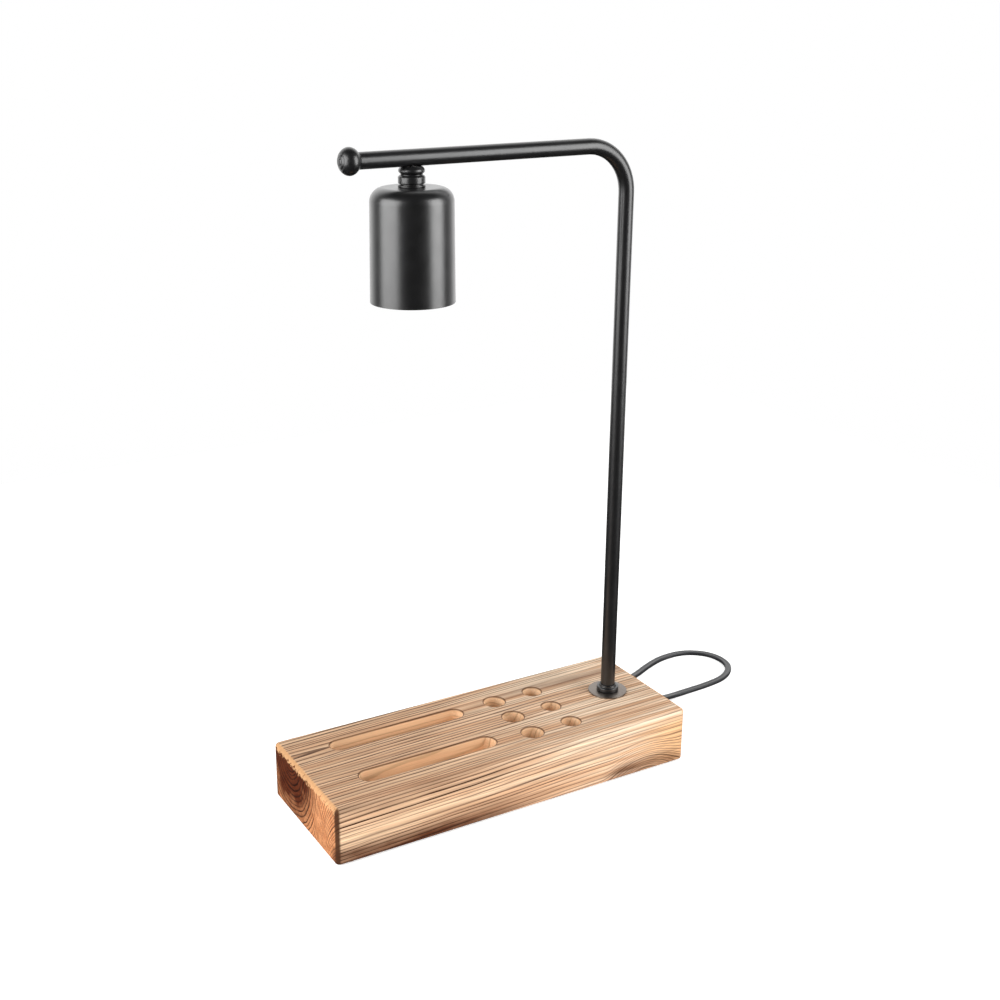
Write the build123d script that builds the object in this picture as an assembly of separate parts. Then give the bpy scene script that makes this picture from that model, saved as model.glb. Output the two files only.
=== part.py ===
"""Desk lamp on a scorched pine block with phone slots, pen holes and a bent swing arm.

Millimetres. The lamp stands on its felt pads at z = 0, and the origin is under the middle of the
block. +X runs along the block towards the stem, +Y to the back and +Z up.
"""
from build123d import *
import math
import os

# Wooden block
BASE_L = 286.0
BASE_W = 104.0
BASE_H = 42.0
CORNER_R = 3.5
TOP_R = 3.2
UNDER_R = 1.5
RIM = 0.6
PAD_D = 12.0
PAD_T = 1.5
PAD_INSET_X = 12.0
PAD_INSET_Y = 8.8

# Phone slots and pen holes in the top of the block
SLOT_DEPTH = 16.0
SLOT_INSET = 32.0
SLOT_TO_HOLES = 21.0
FRONT_SLOT_W = 15.0
FRONT_SLOT_INSET = 29.7
BACK_SLOT_W = 14.0
BACK_SLOT_INSET = 27.0
BIG_HOLE_D = 16.0
SMALL_HOLE_D = 14.0
BIG_HOLE_DEPTH = 26.0
SMALL_HOLE_DEPTH = 24.0
HOLE_ROW_PITCH = 26.6
HOLE_COLUMN_PITCH = 33.3
STEM_TO_HOLES = 51.3

# Stem, arm and the parts that clamp the stem to the block
TUBE_D = 10.6
TUBE_WALL = 1.0
STEM_INSET = 33.5
STEM_H = 407.5
BEND_R = 32.0
ARM_REACH = 201.2
ARM_TAIL = 36.7
TOP_WASHER_D = 29.0
TOP_WASHER_T = 1.2
COLLAR_D = 16.4
COLLAR_H = 3.4
COLLAR_LIP_D = 12.8
COLLAR_LIP_H = 1.6
UNDER_WASHER_D = 24.0
UNDER_WASHER_T = 1.5
NUT_FLATS = 15.0
NUT_T = 4.5
STEM_TAIL = 1.0
BALL_D = 17.3
BALL_LENGTH = 14.0
BALL_NECK_D = 10.6
BALL_NECK_L = 0.4
SPIGOT_L = 10.0

# Swivel between the arm and the shade
BOSS_D = 16.7
BOSS_H = 4.7
FRICTION_D = 14.0
FRICTION_T = 0.5
RING_D = 17.2
RING_H = 7.3
RING_LIP = 3.4
STUD_D = 8.0
STUD_BORE = 5.0
STUD_FLANGE_D = 12.6
STUD_FLANGE_T = 1.5
LEAD_HOLE_D = 6.0
NIPPLE_D = 10.0
NIPPLE_BORE = 6.0
NIPPLE_HEAD_D = 12.8
NIPPLE_HEAD_T = 2.0
NIPPLE_L = 8.0
NIPPLE_NUT_T = 3.0

# Shade and the screw lampholder inside it
SHADE_D = 53.2
SHADE_FLARE = 0.8
SHADE_H = 72.2
SHADE_WALL = 1.0
SHOULDER_R = 9.0
HOLDER_GAP = 5.6
CAP_H = 12.0
CAP_TOP = 3.0
CAP_WALL = 2.0
HOLDER_H = 40.0
SOCKET_D = 26.8
SHELL_T = 0.5
SHELL_L = 22.0
SHELL_INSET = 1.0
CONTACT_ROOM = 2.0
STRIP_T = 0.8
STRIP_W = 6.0
TERMINAL_SCREW_D = 3.0
TERMINAL_HEAD_D = 5.5
TERMINAL_HEAD_T = 2.0
TERMINAL_INSET = 3.2
CENTRE_LEG_X = -8.0

# Wiring well under the stem, its cover and what it holds
WELL_L = 52.0
WELL_W = 60.0
WELL_H = 11.5
WELL_R = 6.0
WELL_AHEAD = 7.5
NUT_RECESS = 6.0
COVER_T = 3.0
COVER_LIP = 7.0
COVER_GAP = 0.3
WOOD_SCREW_D = 2.5
WOOD_HEAD_D = 4.8
COVER_SCREW_L = 10.0
STRIP_BLOCK_L = 17.0
STRIP_BLOCK_W = 16.0
STRIP_BLOCK_H = 7.5
STRIP_BLOCK_GAP = 1.5
STRIP_BLOCK_R = 1.2
POLE_PITCH = 8.0
WIRE_HOLE_D = 3.0
POLE_SCREW_D = 2.5
CLAMP_INSET = 7.5
CLAMP_L = 8.0
CLAMP_T = 1.2
CLAMP_EAR = 5.2
CLAMP_SCREW_L = 8.0
WIRE_D = 1.8
WIRE_PITCH = 2.3
WIRE_BEND = 3.0

# Flat twin lead
CORD_W = 5.0
CORD_T = 3.0
EXIT_Y = 20.0
FLOOR_GAP = 0.1
LEAD_RUN = 18.0
CORD_TAIL = 3.5

# In-line rocker switch lying on its back behind the block
SWITCH_X = 121.0
SWITCH_Y = 68.0
SWITCH_L = 42.0
SWITCH_W = 24.0
SWITCH_H = 16.0
SWITCH_SPLIT = 6.5
SWITCH_WALL = 1.8
SWITCH_NECK = 8.0
SWITCH_NECK_H = 4.6
SWITCH_R = 6.0
SWITCH_TOP_R = 2.5
SWITCH_SCREW_D = 2.2
SWITCH_SCREW_INSET = 5.0
SWITCH_BOSS = 3.0
SCREW_SLOT = 0.6
CORD_ENTRY_Z = 4.0
ROCKER_L = 15.0
ROCKER_W = 10.0
ROCKER_TILT = 8.0
ROCKER_Z = 12.0
ROCKER_GAP = 0.8
ROCKER_PIN_D = 2.0
ROCKER_PROUD = 1.6
ROCKER_DIP = 1.2
ROCKER_FOOT = 2.5
ROCKER_EASE = 0.5

# Hank of the spare lead behind the block, with its tie and plug
HANK_X = 4.5
HANK_Y = 82.6
HANK_RUN = 90.0
HANK_R = 24.8
HANK_STEP = 5.5
HANK_WAIST = 4.5
HANK_LIFT = 0.9
LAYER_PITCH = 4.0
HANK_TAIL = 30.0
TIE_W = 8.0
TIE_T = 0.7
TIE_GAP = 0.2
PLUG_Y = 67.5
PLUG_W = 27.0
PLUG_L = 22.0
PLUG_H = 13.0
PLUG_NECK_L = 20.0
PLUG_NECK_H = 5.6
PLUG_R = 2.5
PLUG_EDGE = 1.2
PIN_D = 4.0
PIN_L = 19.0
PIN_PITCH = 19.0
PIN_ROOT = 8.0

# Clearances
RUN_FIT = 0.05
STEM_FIT = 0.1
FACE_GAP = 0.05

# Places that follow from the sizes above
Z_UNDER = PAD_T
Z_TOP = PAD_T + BASE_H
STEM_X = BASE_L / 2 - STEM_INSET
SMALL_HOLE_X = STEM_X - STEM_TO_HOLES
BIG_HOLE_X = SMALL_HOLE_X - HOLE_COLUMN_PITCH
SLOT_X0 = -BASE_L / 2 + SLOT_INSET
SLOT_X1 = BIG_HOLE_X - BIG_HOLE_D / 2 - SLOT_TO_HOLES
FRONT_SLOT_Y = -BASE_W / 2 + FRONT_SLOT_INSET
BACK_SLOT_Y = BASE_W / 2 - BACK_SLOT_INSET
ARM_Z = Z_TOP + STEM_H
ARM_END_X = STEM_X - ARM_REACH
SHADE_X = ARM_END_X + ARM_TAIL
TUBE_BORE = TUBE_D - 2 * TUBE_WALL
Z_BOSS = ARM_Z - TUBE_D / 2 - BOSS_H
Z_RING = Z_BOSS - FRICTION_T
Z_SHADE = Z_RING - RING_H
Z_FLANGE = Z_RING - RING_LIP - FACE_GAP
Z_RIM = Z_SHADE - SHADE_H
Z_CAP = Z_SHADE - SHADE_WALL - NIPPLE_NUT_T
Z_HOLDER = Z_CAP - CAP_H
Z_MOUTH = Z_HOLDER - HOLDER_H
HOLDER_D = SHADE_D - 2 * (SHADE_WALL + HOLDER_GAP)
SHELL_R = SOCKET_D / 2 + SHELL_T
CENTRE_SCREW_X = CENTRE_LEG_X + TERMINAL_INSET
SIDE_SCREW_X = SHELL_R - TERMINAL_INSET
Z_CAVITY = Z_MOUTH + SHELL_INSET + SHELL_L + CONTACT_ROOM
Z_ROOF = Z_UNDER + WELL_H
Z_RECESS = Z_ROOF + NUT_RECESS
Z_TAIL = Z_RECESS - UNDER_WASHER_T - NUT_T - STEM_TAIL
WELL_X = STEM_X - WELL_AHEAD
STRIP_BLOCK_X = WELL_X - WELL_L / 2 + STRIP_BLOCK_GAP + STRIP_BLOCK_L / 2
POLE_Z = Z_ROOF - STRIP_BLOCK_H / 2
EXIT_X = BASE_L / 2
EXIT_Z = Z_ROOF - CORD_T / 2 - FACE_GAP
CLAMP_X = WELL_X + WELL_L / 2 - CLAMP_INSET
CORD_INNER_X = CLAMP_X - CLAMP_L / 2 - CORD_TAIL
CORD_Z = CORD_T / 2 + FLOOR_GAP
SWITCH_X0 = SWITCH_X - SWITCH_L / 2 - SWITCH_NECK
SWITCH_X1 = SWITCH_X + SWITCH_L / 2 + SWITCH_NECK
SCREW_OFFSET = SWITCH_L / 2 - SWITCH_SCREW_INSET
PLUG_Z = PLUG_H / 2
PLUG_X1 = HANK_X - HANK_RUN / 2 - HANK_TAIL

# The lead's route on the floor, from the block's end face to the switch
LEAD_ROUTE = [
    (EXIT_X, EXIT_Y, EXIT_Z),
    (EXIT_X + LEAD_RUN, EXIT_Y, EXIT_Z),
    (179.0, 25.0, 6.6),
    (196.0, 30.4, 2.4),
    (215.0, 32.4, CORD_Z),
    (237.0, 33.2, CORD_Z),
    (259.0, 37.0, CORD_Z),
    (276.5, 52.0, CORD_Z),
    (277.0, 75.5, CORD_Z),
    (259.5, 91.5, CORD_Z),
    (235.0, 92.5, CORD_Z),
    (213.0, 85.0, CORD_Z),
    (191.0, 74.5, CORD_Z),
    (SWITCH_X1 + LEAD_RUN, SWITCH_Y, CORD_ENTRY_Z),
    (SWITCH_X1, SWITCH_Y, CORD_ENTRY_Z),
]

ON_Z = (Align.CENTER, Align.CENTER, Align.MIN)


def rod(diameter, z_low, z_high, x=0.0, y=0.0):
    """A round bar along Z between two heights."""
    return Pos(x, y, z_low) * Cylinder(diameter / 2, z_high - z_low, align=ON_Z)


def ring(outer, inner, z_low, z_high, x=0.0, y=0.0):
    """A plain washer or sleeve along Z."""
    return rod(outer, z_low, z_high, x, y) - rod(inner, z_low, z_high, x, y)


def slab(x_low, x_high, y_low, y_high, z_low, z_high):
    """A square-cornered block between two corners."""
    size = Box(x_high - x_low, y_high - y_low, z_high - z_low, align=(Align.MIN,) * 3)
    return Pos(x_low, y_low, z_low) * size


def plate(length, width, corner, z_low, z_high, x=0.0, y=0.0):
    """A plate with rounded corners, flat between two heights."""
    outline = RectangleRounded(length, width, corner)
    return Pos(x, y, z_low) * extrude(outline, z_high - z_low)


def turned(points, x=0.0, y=0.0):
    """A turned piece: (radius, height) points spun about a vertical axis."""
    outline = Polyline(*[(radius, 0, height) for radius, height in points], close=True)
    return Pos(x, y, 0) * revolve(make_face(outline), Axis.Z)


def countersunk(x, y, z_head, length):
    """A wood screw driven upwards, its cross-slotted head flush at z_head."""
    cone_h = (WOOD_HEAD_D - WOOD_SCREW_D) / 2
    screw = rod(WOOD_SCREW_D, z_head, z_head + length, x, y)
    screw += Pos(x, y, z_head) * Cone(WOOD_HEAD_D / 2, WOOD_SCREW_D / 2, cone_h, align=ON_Z)
    slot = Box(WOOD_HEAD_D * 0.6, WOOD_HEAD_D * 0.14, cone_h, align=ON_Z)
    cross = slot + Rot(0, 0, 90) * slot
    return screw - Pos(x, y, z_head) * cross


def screw_hole(x, y, z_head, length):
    """The room that a countersunk screw takes."""
    cone_h = (WOOD_HEAD_D - WOOD_SCREW_D) / 2
    hole = rod(WOOD_SCREW_D + 2 * RUN_FIT, z_head, z_head + length + RUN_FIT, x, y)
    wide = WOOD_HEAD_D / 2 + RUN_FIT
    narrow = WOOD_SCREW_D / 2 + RUN_FIT
    return hole + Pos(x, y, z_head) * Cone(wide, narrow, cone_h, align=ON_Z)


def wire(points):
    """A round insulated wire along straight runs with small bends."""
    path = FilletPolyline(*points, radius=WIRE_BEND)
    start = Plane(origin=path @ 0, z_dir=path % 0)
    return sweep(start * Circle(WIRE_D / 2), path=path)


def cord_along(path):
    """The flat lead swept along a path, its broad side level."""
    heading = path % 0
    across = Vector(0, 0, 1).cross(heading).normalized()
    start = Plane(origin=path @ 0, x_dir=across, z_dir=heading)
    solid = sweep(start * SlotOverall(CORD_W, CORD_T), path=path)
    section = (CORD_W - CORD_T) * CORD_T + math.pi * CORD_T ** 2 / 4
    print("lead length", round(path.length, 1), "volume ratio", round(solid.volume / section / path.length, 4))
    return solid


def route_radii(points):
    """The largest bend each corner has room for: 0.45 of the shorter run over tan(half turn)."""
    radii = []
    for before, corner, after in zip(points, points[1:], points[2:]):
        run_in = Vector(corner) - Vector(before)
        run_out = Vector(after) - Vector(corner)
        half_turn = math.radians(run_in.get_angle(run_out)) / 2
        radii.append(0.45 * min(run_in.length, run_out.length) / math.tan(half_turn))
    return radii


# Block and what is let into it

def cover_corners():
    """The places of the cover's four screws."""
    half_l = WELL_L / 2 + COVER_LIP / 2
    half_w = WELL_W / 2 + COVER_LIP / 2
    return [(WELL_X + i * half_l, j * half_w) for i in (-1, 1) for j in (-1, 1)]


def clamp_places():
    """The places of the cord clamp's two screws."""
    reach = CORD_W / 2 + CLAMP_T + CLAMP_EAR / 2
    return [(CLAMP_X, EXIT_Y + j * reach) for j in (-1, 1)]


def pen_holes():
    """Centre, diameter and depth of each pen hole: a column of large ones and a column of small ones."""
    rows = (-HOLE_ROW_PITCH, 0.0, HOLE_ROW_PITCH)
    large = (BIG_HOLE_X, BIG_HOLE_D, BIG_HOLE_DEPTH)
    small = (SMALL_HOLE_X, SMALL_HOLE_D, SMALL_HOLE_DEPTH)
    return [(x, y, diameter, depth) for x, diameter, depth in (large, small) for y in rows]


def pen_cut(x, y, diameter, depth):
    """A flat-bottomed pen hole with an eased rim."""
    hole = rod(diameter, Z_TOP - depth, Z_TOP, x, y)
    rim = Cone(diameter / 2, diameter / 2 + RIM, RIM, align=ON_Z)
    return hole + Pos(x, y, Z_TOP - RIM) * rim


def slot_cut(y, width):
    """A round-ended phone slot with an eased rim."""
    length = SLOT_X1 - SLOT_X0
    middle = (SLOT_X0 + SLOT_X1) / 2
    outline = SlotOverall(length, width)
    slot = Pos(middle, y, Z_TOP - SLOT_DEPTH) * extrude(outline, SLOT_DEPTH)
    rim = Pos(middle, y, Z_TOP - RIM) * extrude(outline, RIM, taper=-45)
    return slot + rim


def make_base_block():
    block = Pos(0, 0, Z_UNDER) * Box(BASE_L, BASE_W, BASE_H, align=ON_Z)
    block = fillet(block.edges().filter_by(Axis.Z), CORNER_R)
    block = fillet(block.faces().sort_by(Axis.Z)[-1].edges(), TOP_R)
    block = fillet(block.faces().sort_by(Axis.Z)[0].edges(), UNDER_R)
    for x, y, diameter, depth in pen_holes():
        block -= pen_cut(x, y, diameter, depth)
    block -= slot_cut(FRONT_SLOT_Y, FRONT_SLOT_W)
    block -= slot_cut(BACK_SLOT_Y, BACK_SLOT_W)
    block -= rod(TUBE_D + 2 * STEM_FIT, Z_UNDER, Z_TOP, STEM_X)
    block -= rod(UNDER_WASHER_D + 2 * COVER_GAP, Z_ROOF, Z_RECESS, STEM_X)
    block -= plate(WELL_L, WELL_W, WELL_R, Z_UNDER, Z_ROOF, WELL_X)
    rebate_l = WELL_L + 2 * COVER_LIP
    rebate_w = WELL_W + 2 * COVER_LIP
    block -= plate(rebate_l, rebate_w, WELL_R, Z_UNDER, Z_UNDER + COVER_T, WELL_X)
    wall_x = WELL_X + WELL_L / 2
    bore = Plane(origin=(wall_x, EXIT_Y, EXIT_Z), x_dir=(0, 1, 0), z_dir=(1, 0, 0))
    mouth = SlotOverall(CORD_W + 2 * FACE_GAP, CORD_T + 2 * FACE_GAP)
    block -= extrude(bore * mouth, EXIT_X - wall_x)
    for x, y in cover_corners():
        block -= screw_hole(x, y, Z_UNDER, COVER_SCREW_L)
    for x, y in clamp_places():
        block -= screw_hole(x, y, Z_ROOF - CLAMP_T, CLAMP_SCREW_L)
    block -= screw_hole(STRIP_BLOCK_X, 0, Z_ROOF - STRIP_BLOCK_H, STRIP_BLOCK_H + CLAMP_SCREW_L)
    return block


def make_base_cover():
    length = WELL_L + 2 * COVER_LIP - 2 * COVER_GAP
    width = WELL_W + 2 * COVER_LIP - 2 * COVER_GAP
    cover = plate(length, width, WELL_R - COVER_GAP, Z_UNDER, Z_UNDER + COVER_T, WELL_X)
    for x, y in cover_corners():
        cover -= screw_hole(x, y, Z_UNDER, COVER_SCREW_L)
    return cover


def make_cover_screws():
    return [countersunk(x, y, Z_UNDER, COVER_SCREW_L) for x, y in cover_corners()]


def make_foot_pads():
    half_l = BASE_L / 2 - PAD_INSET_X
    half_w = BASE_W / 2 - PAD_INSET_Y
    return [rod(PAD_D, 0, PAD_T, i * half_l, j * half_w) for i in (-1, 1) for j in (-1, 1)]


# Stem and the parts that clamp it

def make_stem_washer():
    return ring(TOP_WASHER_D, TUBE_D + 2 * STEM_FIT, Z_TOP, Z_TOP + TOP_WASHER_T, STEM_X)


def make_stem_collar():
    low = Z_TOP + TOP_WASHER_T + FACE_GAP
    step = low + COLLAR_H
    inner = TUBE_D / 2 + RUN_FIT
    rim = COLLAR_D / 2
    lip = COLLAR_LIP_D / 2
    ease = COLLAR_LIP_H / 2
    points = [(inner, low), (rim - ease, low), (rim, low + ease), (rim, step - ease), (rim - ease, step)]
    points += [(lip, step), (lip, step + ease), (lip - ease, step + COLLAR_LIP_H)]
    points += [(inner, step + COLLAR_LIP_H)]
    return turned(points, STEM_X)


def make_under_washer():
    bore = TUBE_D + 2 * STEM_FIT
    return ring(UNDER_WASHER_D, bore, Z_RECESS - UNDER_WASHER_T, Z_RECESS, STEM_X)


def make_stem_nut():
    high = Z_RECESS - UNDER_WASHER_T - FACE_GAP
    low = high - NUT_T
    hexagon = RegularPolygon(NUT_FLATS / 2, 6, major_radius=False)
    nut = Pos(STEM_X, 0, low) * extrude(hexagon, NUT_T)
    return nut - rod(TUBE_D + 2 * RUN_FIT, low, high, STEM_X)


def arm_path(x_end, z_start, y=0.0):
    """The tube's centre line: up the stem, round the bend and along the arm."""
    rise = Line((STEM_X, y, z_start), (STEM_X, y, ARM_Z - BEND_R))
    half = math.sqrt(0.5) * BEND_R
    knee = (STEM_X - BEND_R + half, y, ARM_Z - BEND_R + half)
    bend = ThreePointArc(rise @ 1, knee, (STEM_X - BEND_R, y, ARM_Z))
    reach = Line(bend @ 1, (x_end, y, ARM_Z))
    return rise, bend, reach


def make_stem_tube():
    path = Curve() + list(arm_path(ARM_END_X, Z_TAIL))
    start = Plane(origin=(STEM_X, 0, Z_TAIL), z_dir=(0, 0, 1))
    outer = sweep(start * Circle(TUBE_D / 2), path=path)
    inner = sweep(start * Circle(TUBE_BORE / 2), path=path)
    return outer - inner - rod(LEAD_HOLE_D, Z_BOSS, ARM_Z, SHADE_X)


def make_ball_finial():
    """A turned ball on a short neck, with a spigot in the arm's end and two rings on its pole."""
    half = BALL_LENGTH / 2
    radius = BALL_D / 2
    neck = BALL_NECK_D / 2
    spigot = TUBE_BORE / 2 - RUN_FIT
    meet = BALL_NECK_L
    middle = meet + half * math.sqrt(1 - (neck / radius) ** 2)
    groove = radius * 0.3
    pole = middle + half
    steps = 24
    points = [(0, -SPIGOT_L), (spigot, -SPIGOT_L), (spigot, 0), (neck, 0), (neck, meet)]
    start = math.acos((middle - meet) / half)
    for i in range(1, steps):
        turn = start + (math.pi - start) * i / steps
        points.append((radius * math.sin(turn), middle - half * math.cos(turn)))
    points.append((0, pole))
    ball = turned(points)
    for scale in (1.0, 1.9):
        ball -= Pos(0, 0, pole + groove * 0.02) * Torus(groove * scale, groove * 0.16)
    return Pos(ARM_END_X, 0, ARM_Z) * Rot(0, -90, 0) * ball


# Swivel

def make_arm_boss():
    ease = BOSS_H / 4
    rim = BOSS_D / 2
    top = ARM_Z - TUBE_D / 2 + TUBE_WALL / 2
    points = [(0, Z_BOSS), (rim - ease, Z_BOSS), (rim, Z_BOSS + ease), (rim, top - ease), (rim - ease, top)]
    boss = turned(points + [(0, top)], SHADE_X)
    saddle = Pos(SHADE_X, 0, ARM_Z) * Rot(0, 90, 0) * Cylinder(TUBE_D / 2 + RUN_FIT, 2 * BOSS_D)
    stud_top = top - TUBE_WALL
    boss -= saddle
    boss -= rod(STUD_D + 2 * RUN_FIT, Z_BOSS, stud_top, SHADE_X)
    return boss - rod(LEAD_HOLE_D, Z_BOSS, top, SHADE_X)


def make_swivel_stud():
    top = ARM_Z - TUBE_D / 2 - TUBE_WALL / 2 - FACE_GAP
    stud = rod(STUD_D, Z_FLANGE, top, SHADE_X)
    stud += rod(STUD_FLANGE_D, Z_FLANGE - STUD_FLANGE_T, Z_FLANGE, SHADE_X)
    return stud - rod(STUD_BORE, Z_FLANGE - STUD_FLANGE_T, top, SHADE_X)


def make_friction_washer():
    return ring(FRICTION_D, STUD_D + 2 * RUN_FIT, Z_RING + FACE_GAP, Z_BOSS, SHADE_X)


def make_swivel_ring():
    ease = RING_H / 7
    rim = RING_D / 2
    neck = rim - ease
    bore = STUD_D / 2 + RUN_FIT
    well = NIPPLE_HEAD_D / 2 + RUN_FIT
    low = Z_SHADE + 1.2 * ease
    points = [(bore, Z_RING), (neck, Z_RING), (rim, Z_RING - ease), (rim, low + ease), (neck, low + ease)]
    points += [(neck, low), (rim, low), (rim, Z_SHADE), (well, Z_SHADE), (well, Z_RING - RING_LIP)]
    points += [(bore, Z_RING - RING_LIP)]
    return turned(points, SHADE_X)


def make_shade_nipple():
    low = Z_SHADE - NIPPLE_L
    nipple = rod(NIPPLE_D, low, Z_SHADE, SHADE_X)
    nipple += rod(NIPPLE_HEAD_D, Z_SHADE, Z_SHADE + NIPPLE_HEAD_T, SHADE_X)
    return nipple - rod(NIPPLE_BORE, low, Z_SHADE + NIPPLE_HEAD_T, SHADE_X)


def make_nipple_nut():
    high = Z_SHADE - SHADE_WALL
    hexagon = RegularPolygon(NUT_FLATS / 2, 6, major_radius=False)
    nut = Pos(SHADE_X, 0, Z_CAP) * extrude(hexagon, high - Z_CAP)
    return nut - rod(NIPPLE_D + 2 * RUN_FIT, Z_CAP, high, SHADE_X)


# Shade and lampholder

def cup(diameter, z_low, z_high, shoulder):
    """A round-shouldered cup that widens a little to its rim, the form of the shade's skin."""
    radius = diameter / 2
    solid = Pos(SHADE_X, 0, z_low) * Cone(radius + SHADE_FLARE, radius, z_high - z_low, align=ON_Z)
    return fillet(solid.edges().sort_by(Axis.Z)[-1], shoulder)


def make_shade_cup():
    outer = cup(SHADE_D, Z_RIM, Z_SHADE, SHOULDER_R)
    inner = cup(SHADE_D - 2 * SHADE_WALL, Z_RIM, Z_SHADE - SHADE_WALL, SHOULDER_R - SHADE_WALL)
    return outer - inner - rod(NIPPLE_D + 2 * RUN_FIT, Z_RIM, Z_SHADE, SHADE_X)


def make_holder_cap():
    cap = rod(HOLDER_D, Z_HOLDER, Z_CAP, SHADE_X)
    cap = fillet(cap.edges().sort_by(Axis.Z)[-1], CAP_WALL)
    cap -= rod(HOLDER_D - 2 * CAP_WALL, Z_HOLDER, Z_CAP - CAP_TOP, SHADE_X)
    return cap - rod(NIPPLE_D + 2 * RUN_FIT, Z_HOLDER, Z_CAP, SHADE_X)


def terminal_places():
    """The lampholder's two terminal screws."""
    return [SHADE_X + CENTRE_SCREW_X, SHADE_X + SIDE_SCREW_X]


def make_holder_body():
    body = rod(HOLDER_D, Z_MOUTH, Z_HOLDER, SHADE_X)
    body -= rod(2 * (SHELL_R + RUN_FIT), Z_MOUTH, Z_CAVITY, SHADE_X)
    half = STRIP_W / 2 + RUN_FIT
    leg = SHADE_X + CENTRE_LEG_X
    body -= slab(leg - STRIP_T / 2 - RUN_FIT, leg + STRIP_T / 2 + RUN_FIT, -half, half, Z_CAVITY, Z_HOLDER)
    side = SHADE_X + SHELL_R
    body -= slab(side - RUN_FIT, side + STRIP_T + 3 * RUN_FIT, -half, half, Z_MOUTH + SHELL_L / 2, Z_HOLDER)
    for x in terminal_places():
        body -= rod(TERMINAL_SCREW_D + 2 * RUN_FIT, Z_HOLDER - 2 * TERMINAL_SCREW_D, Z_HOLDER, x)
    return body


def make_holder_shell():
    low = Z_MOUTH + SHELL_INSET
    return ring(2 * SHELL_R, SOCKET_D, low, low + SHELL_L, SHADE_X)


def make_centre_contact():
    """A bent brass strip from the terminal down to a tongue over the middle of the socket."""
    leg = SHADE_X + CENTRE_LEG_X
    near = leg - STRIP_T / 2
    far = leg + STRIP_T / 2
    half = STRIP_W / 2
    low = Z_CAVITY - CONTACT_ROOM
    strip = slab(near, far, -half, half, low, Z_HOLDER)
    strip += slab(near, SHADE_X + half, -half, half, low - STRIP_T, low)
    strip += slab(near, SHADE_X + CENTRE_SCREW_X + half, -half, half, Z_HOLDER, Z_HOLDER + STRIP_T)
    hole = rod(TERMINAL_SCREW_D + 2 * RUN_FIT, Z_HOLDER, Z_HOLDER + STRIP_T, SHADE_X + CENTRE_SCREW_X)
    return strip - hole


def make_side_contact():
    """A brass strip from the other terminal down to the outside of the threaded shell."""
    near = SHADE_X + SHELL_R + RUN_FIT
    far = near + STRIP_T
    half = STRIP_W / 2
    strip = slab(near, far, -half, half, Z_MOUTH + SHELL_L / 2 + RUN_FIT, Z_HOLDER)
    strip += slab(SHADE_X + SIDE_SCREW_X - half, far, -half, half, Z_HOLDER, Z_HOLDER + STRIP_T)
    hole = rod(TERMINAL_SCREW_D + 2 * RUN_FIT, Z_HOLDER, Z_HOLDER + STRIP_T, SHADE_X + SIDE_SCREW_X)
    return strip - hole


def make_holder_screws():
    screws = []
    seat = Z_HOLDER + STRIP_T
    for x in terminal_places():
        screw = rod(TERMINAL_SCREW_D, Z_HOLDER - 1.8 * TERMINAL_SCREW_D, seat, x)
        screw += rod(TERMINAL_HEAD_D, seat, seat + TERMINAL_HEAD_T, x)
        groove = Box(TERMINAL_HEAD_D, STRIP_T, STRIP_T, align=ON_Z)
        screws.append(screw - Pos(x, 0, seat + TERMINAL_HEAD_T - STRIP_T) * groove)
    return screws


# Wiring

def make_arm_leads():
    """Two wires up the stem, along the arm and down into the swivel."""
    leads = []
    low = Z_FLANGE - STUD_FLANGE_T
    for y in (-WIRE_PITCH / 2, WIRE_PITCH / 2):
        rise, bend, reach = arm_path(SHADE_X + WIRE_BEND, Z_TAIL, y)
        dip = math.sqrt(0.5) * WIRE_BEND
        corner = (SHADE_X + WIRE_BEND - dip, y, ARM_Z - WIRE_BEND + dip)
        turn = ThreePointArc(reach @ 1, corner, (SHADE_X, y, ARM_Z - WIRE_BEND))
        drop = Line(turn @ 1, (SHADE_X, y, low))
        path = Curve() + [rise, bend, reach, turn, drop]
        start = Plane(origin=rise @ 0, z_dir=(0, 0, 1))
        leads.append(sweep(start * Circle(WIRE_D / 2), path=path))
    return leads


def make_holder_leads():
    """The wires from the swivel to the lampholder's terminals."""
    top = Z_FLANGE - STUD_FLANGE_T
    bend_z = Z_SHADE - NIPPLE_L - WIRE_BEND
    end_z = Z_HOLDER + STRIP_T + WIRE_D / 2 + FACE_GAP
    reach = TERMINAL_HEAD_D / 2 + 0.9 * WIRE_D
    leads = []
    for side, x in zip((1, -1), terminal_places()):
        y = side * WIRE_PITCH / 2
        points = [(SHADE_X, y, top), (SHADE_X, y, bend_z), (x, side * reach, end_z)]
        leads.append(wire(points))
    return leads


def make_base_leads():
    """The wires from the stem's tail to the terminal block, one passing under the other."""
    half = POLE_PITCH / 2
    leads = []
    end_y = -STRIP_BLOCK_W / 8
    outer = STRIP_BLOCK_W / 2 + WIRE_BEND + WIRE_D
    floor = Z_UNDER + COVER_T + WIRE_D
    for side in (-1, 1):
        y = side * WIRE_PITCH / 2
        level = floor + (1 - side) * 0.7 * WIRE_D
        row = -outer - (1 + side) * 0.7 * WIRE_D
        x = STRIP_BLOCK_X - side * half
        points = [(STEM_X, y, Z_TAIL), (STEM_X, y, level), (STEM_X, row, level)]
        points += [(x, row, POLE_Z), (x, end_y, POLE_Z)]
        leads.append(wire(points))
    return leads


def make_cord_cores():
    """The lead's two cores from the clamp to the terminal block."""
    half = POLE_PITCH / 2
    cores = []
    for side in (-1, 1):
        y = EXIT_Y + side * WIRE_PITCH / 2
        x = STRIP_BLOCK_X - side * half
        start_x = CORD_INNER_X - 2 * FACE_GAP
        points = [(start_x, y, EXIT_Z), (x, y, POLE_Z), (x, STRIP_BLOCK_W / 8, POLE_Z)]
        cores.append(wire(points))
    return cores


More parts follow.
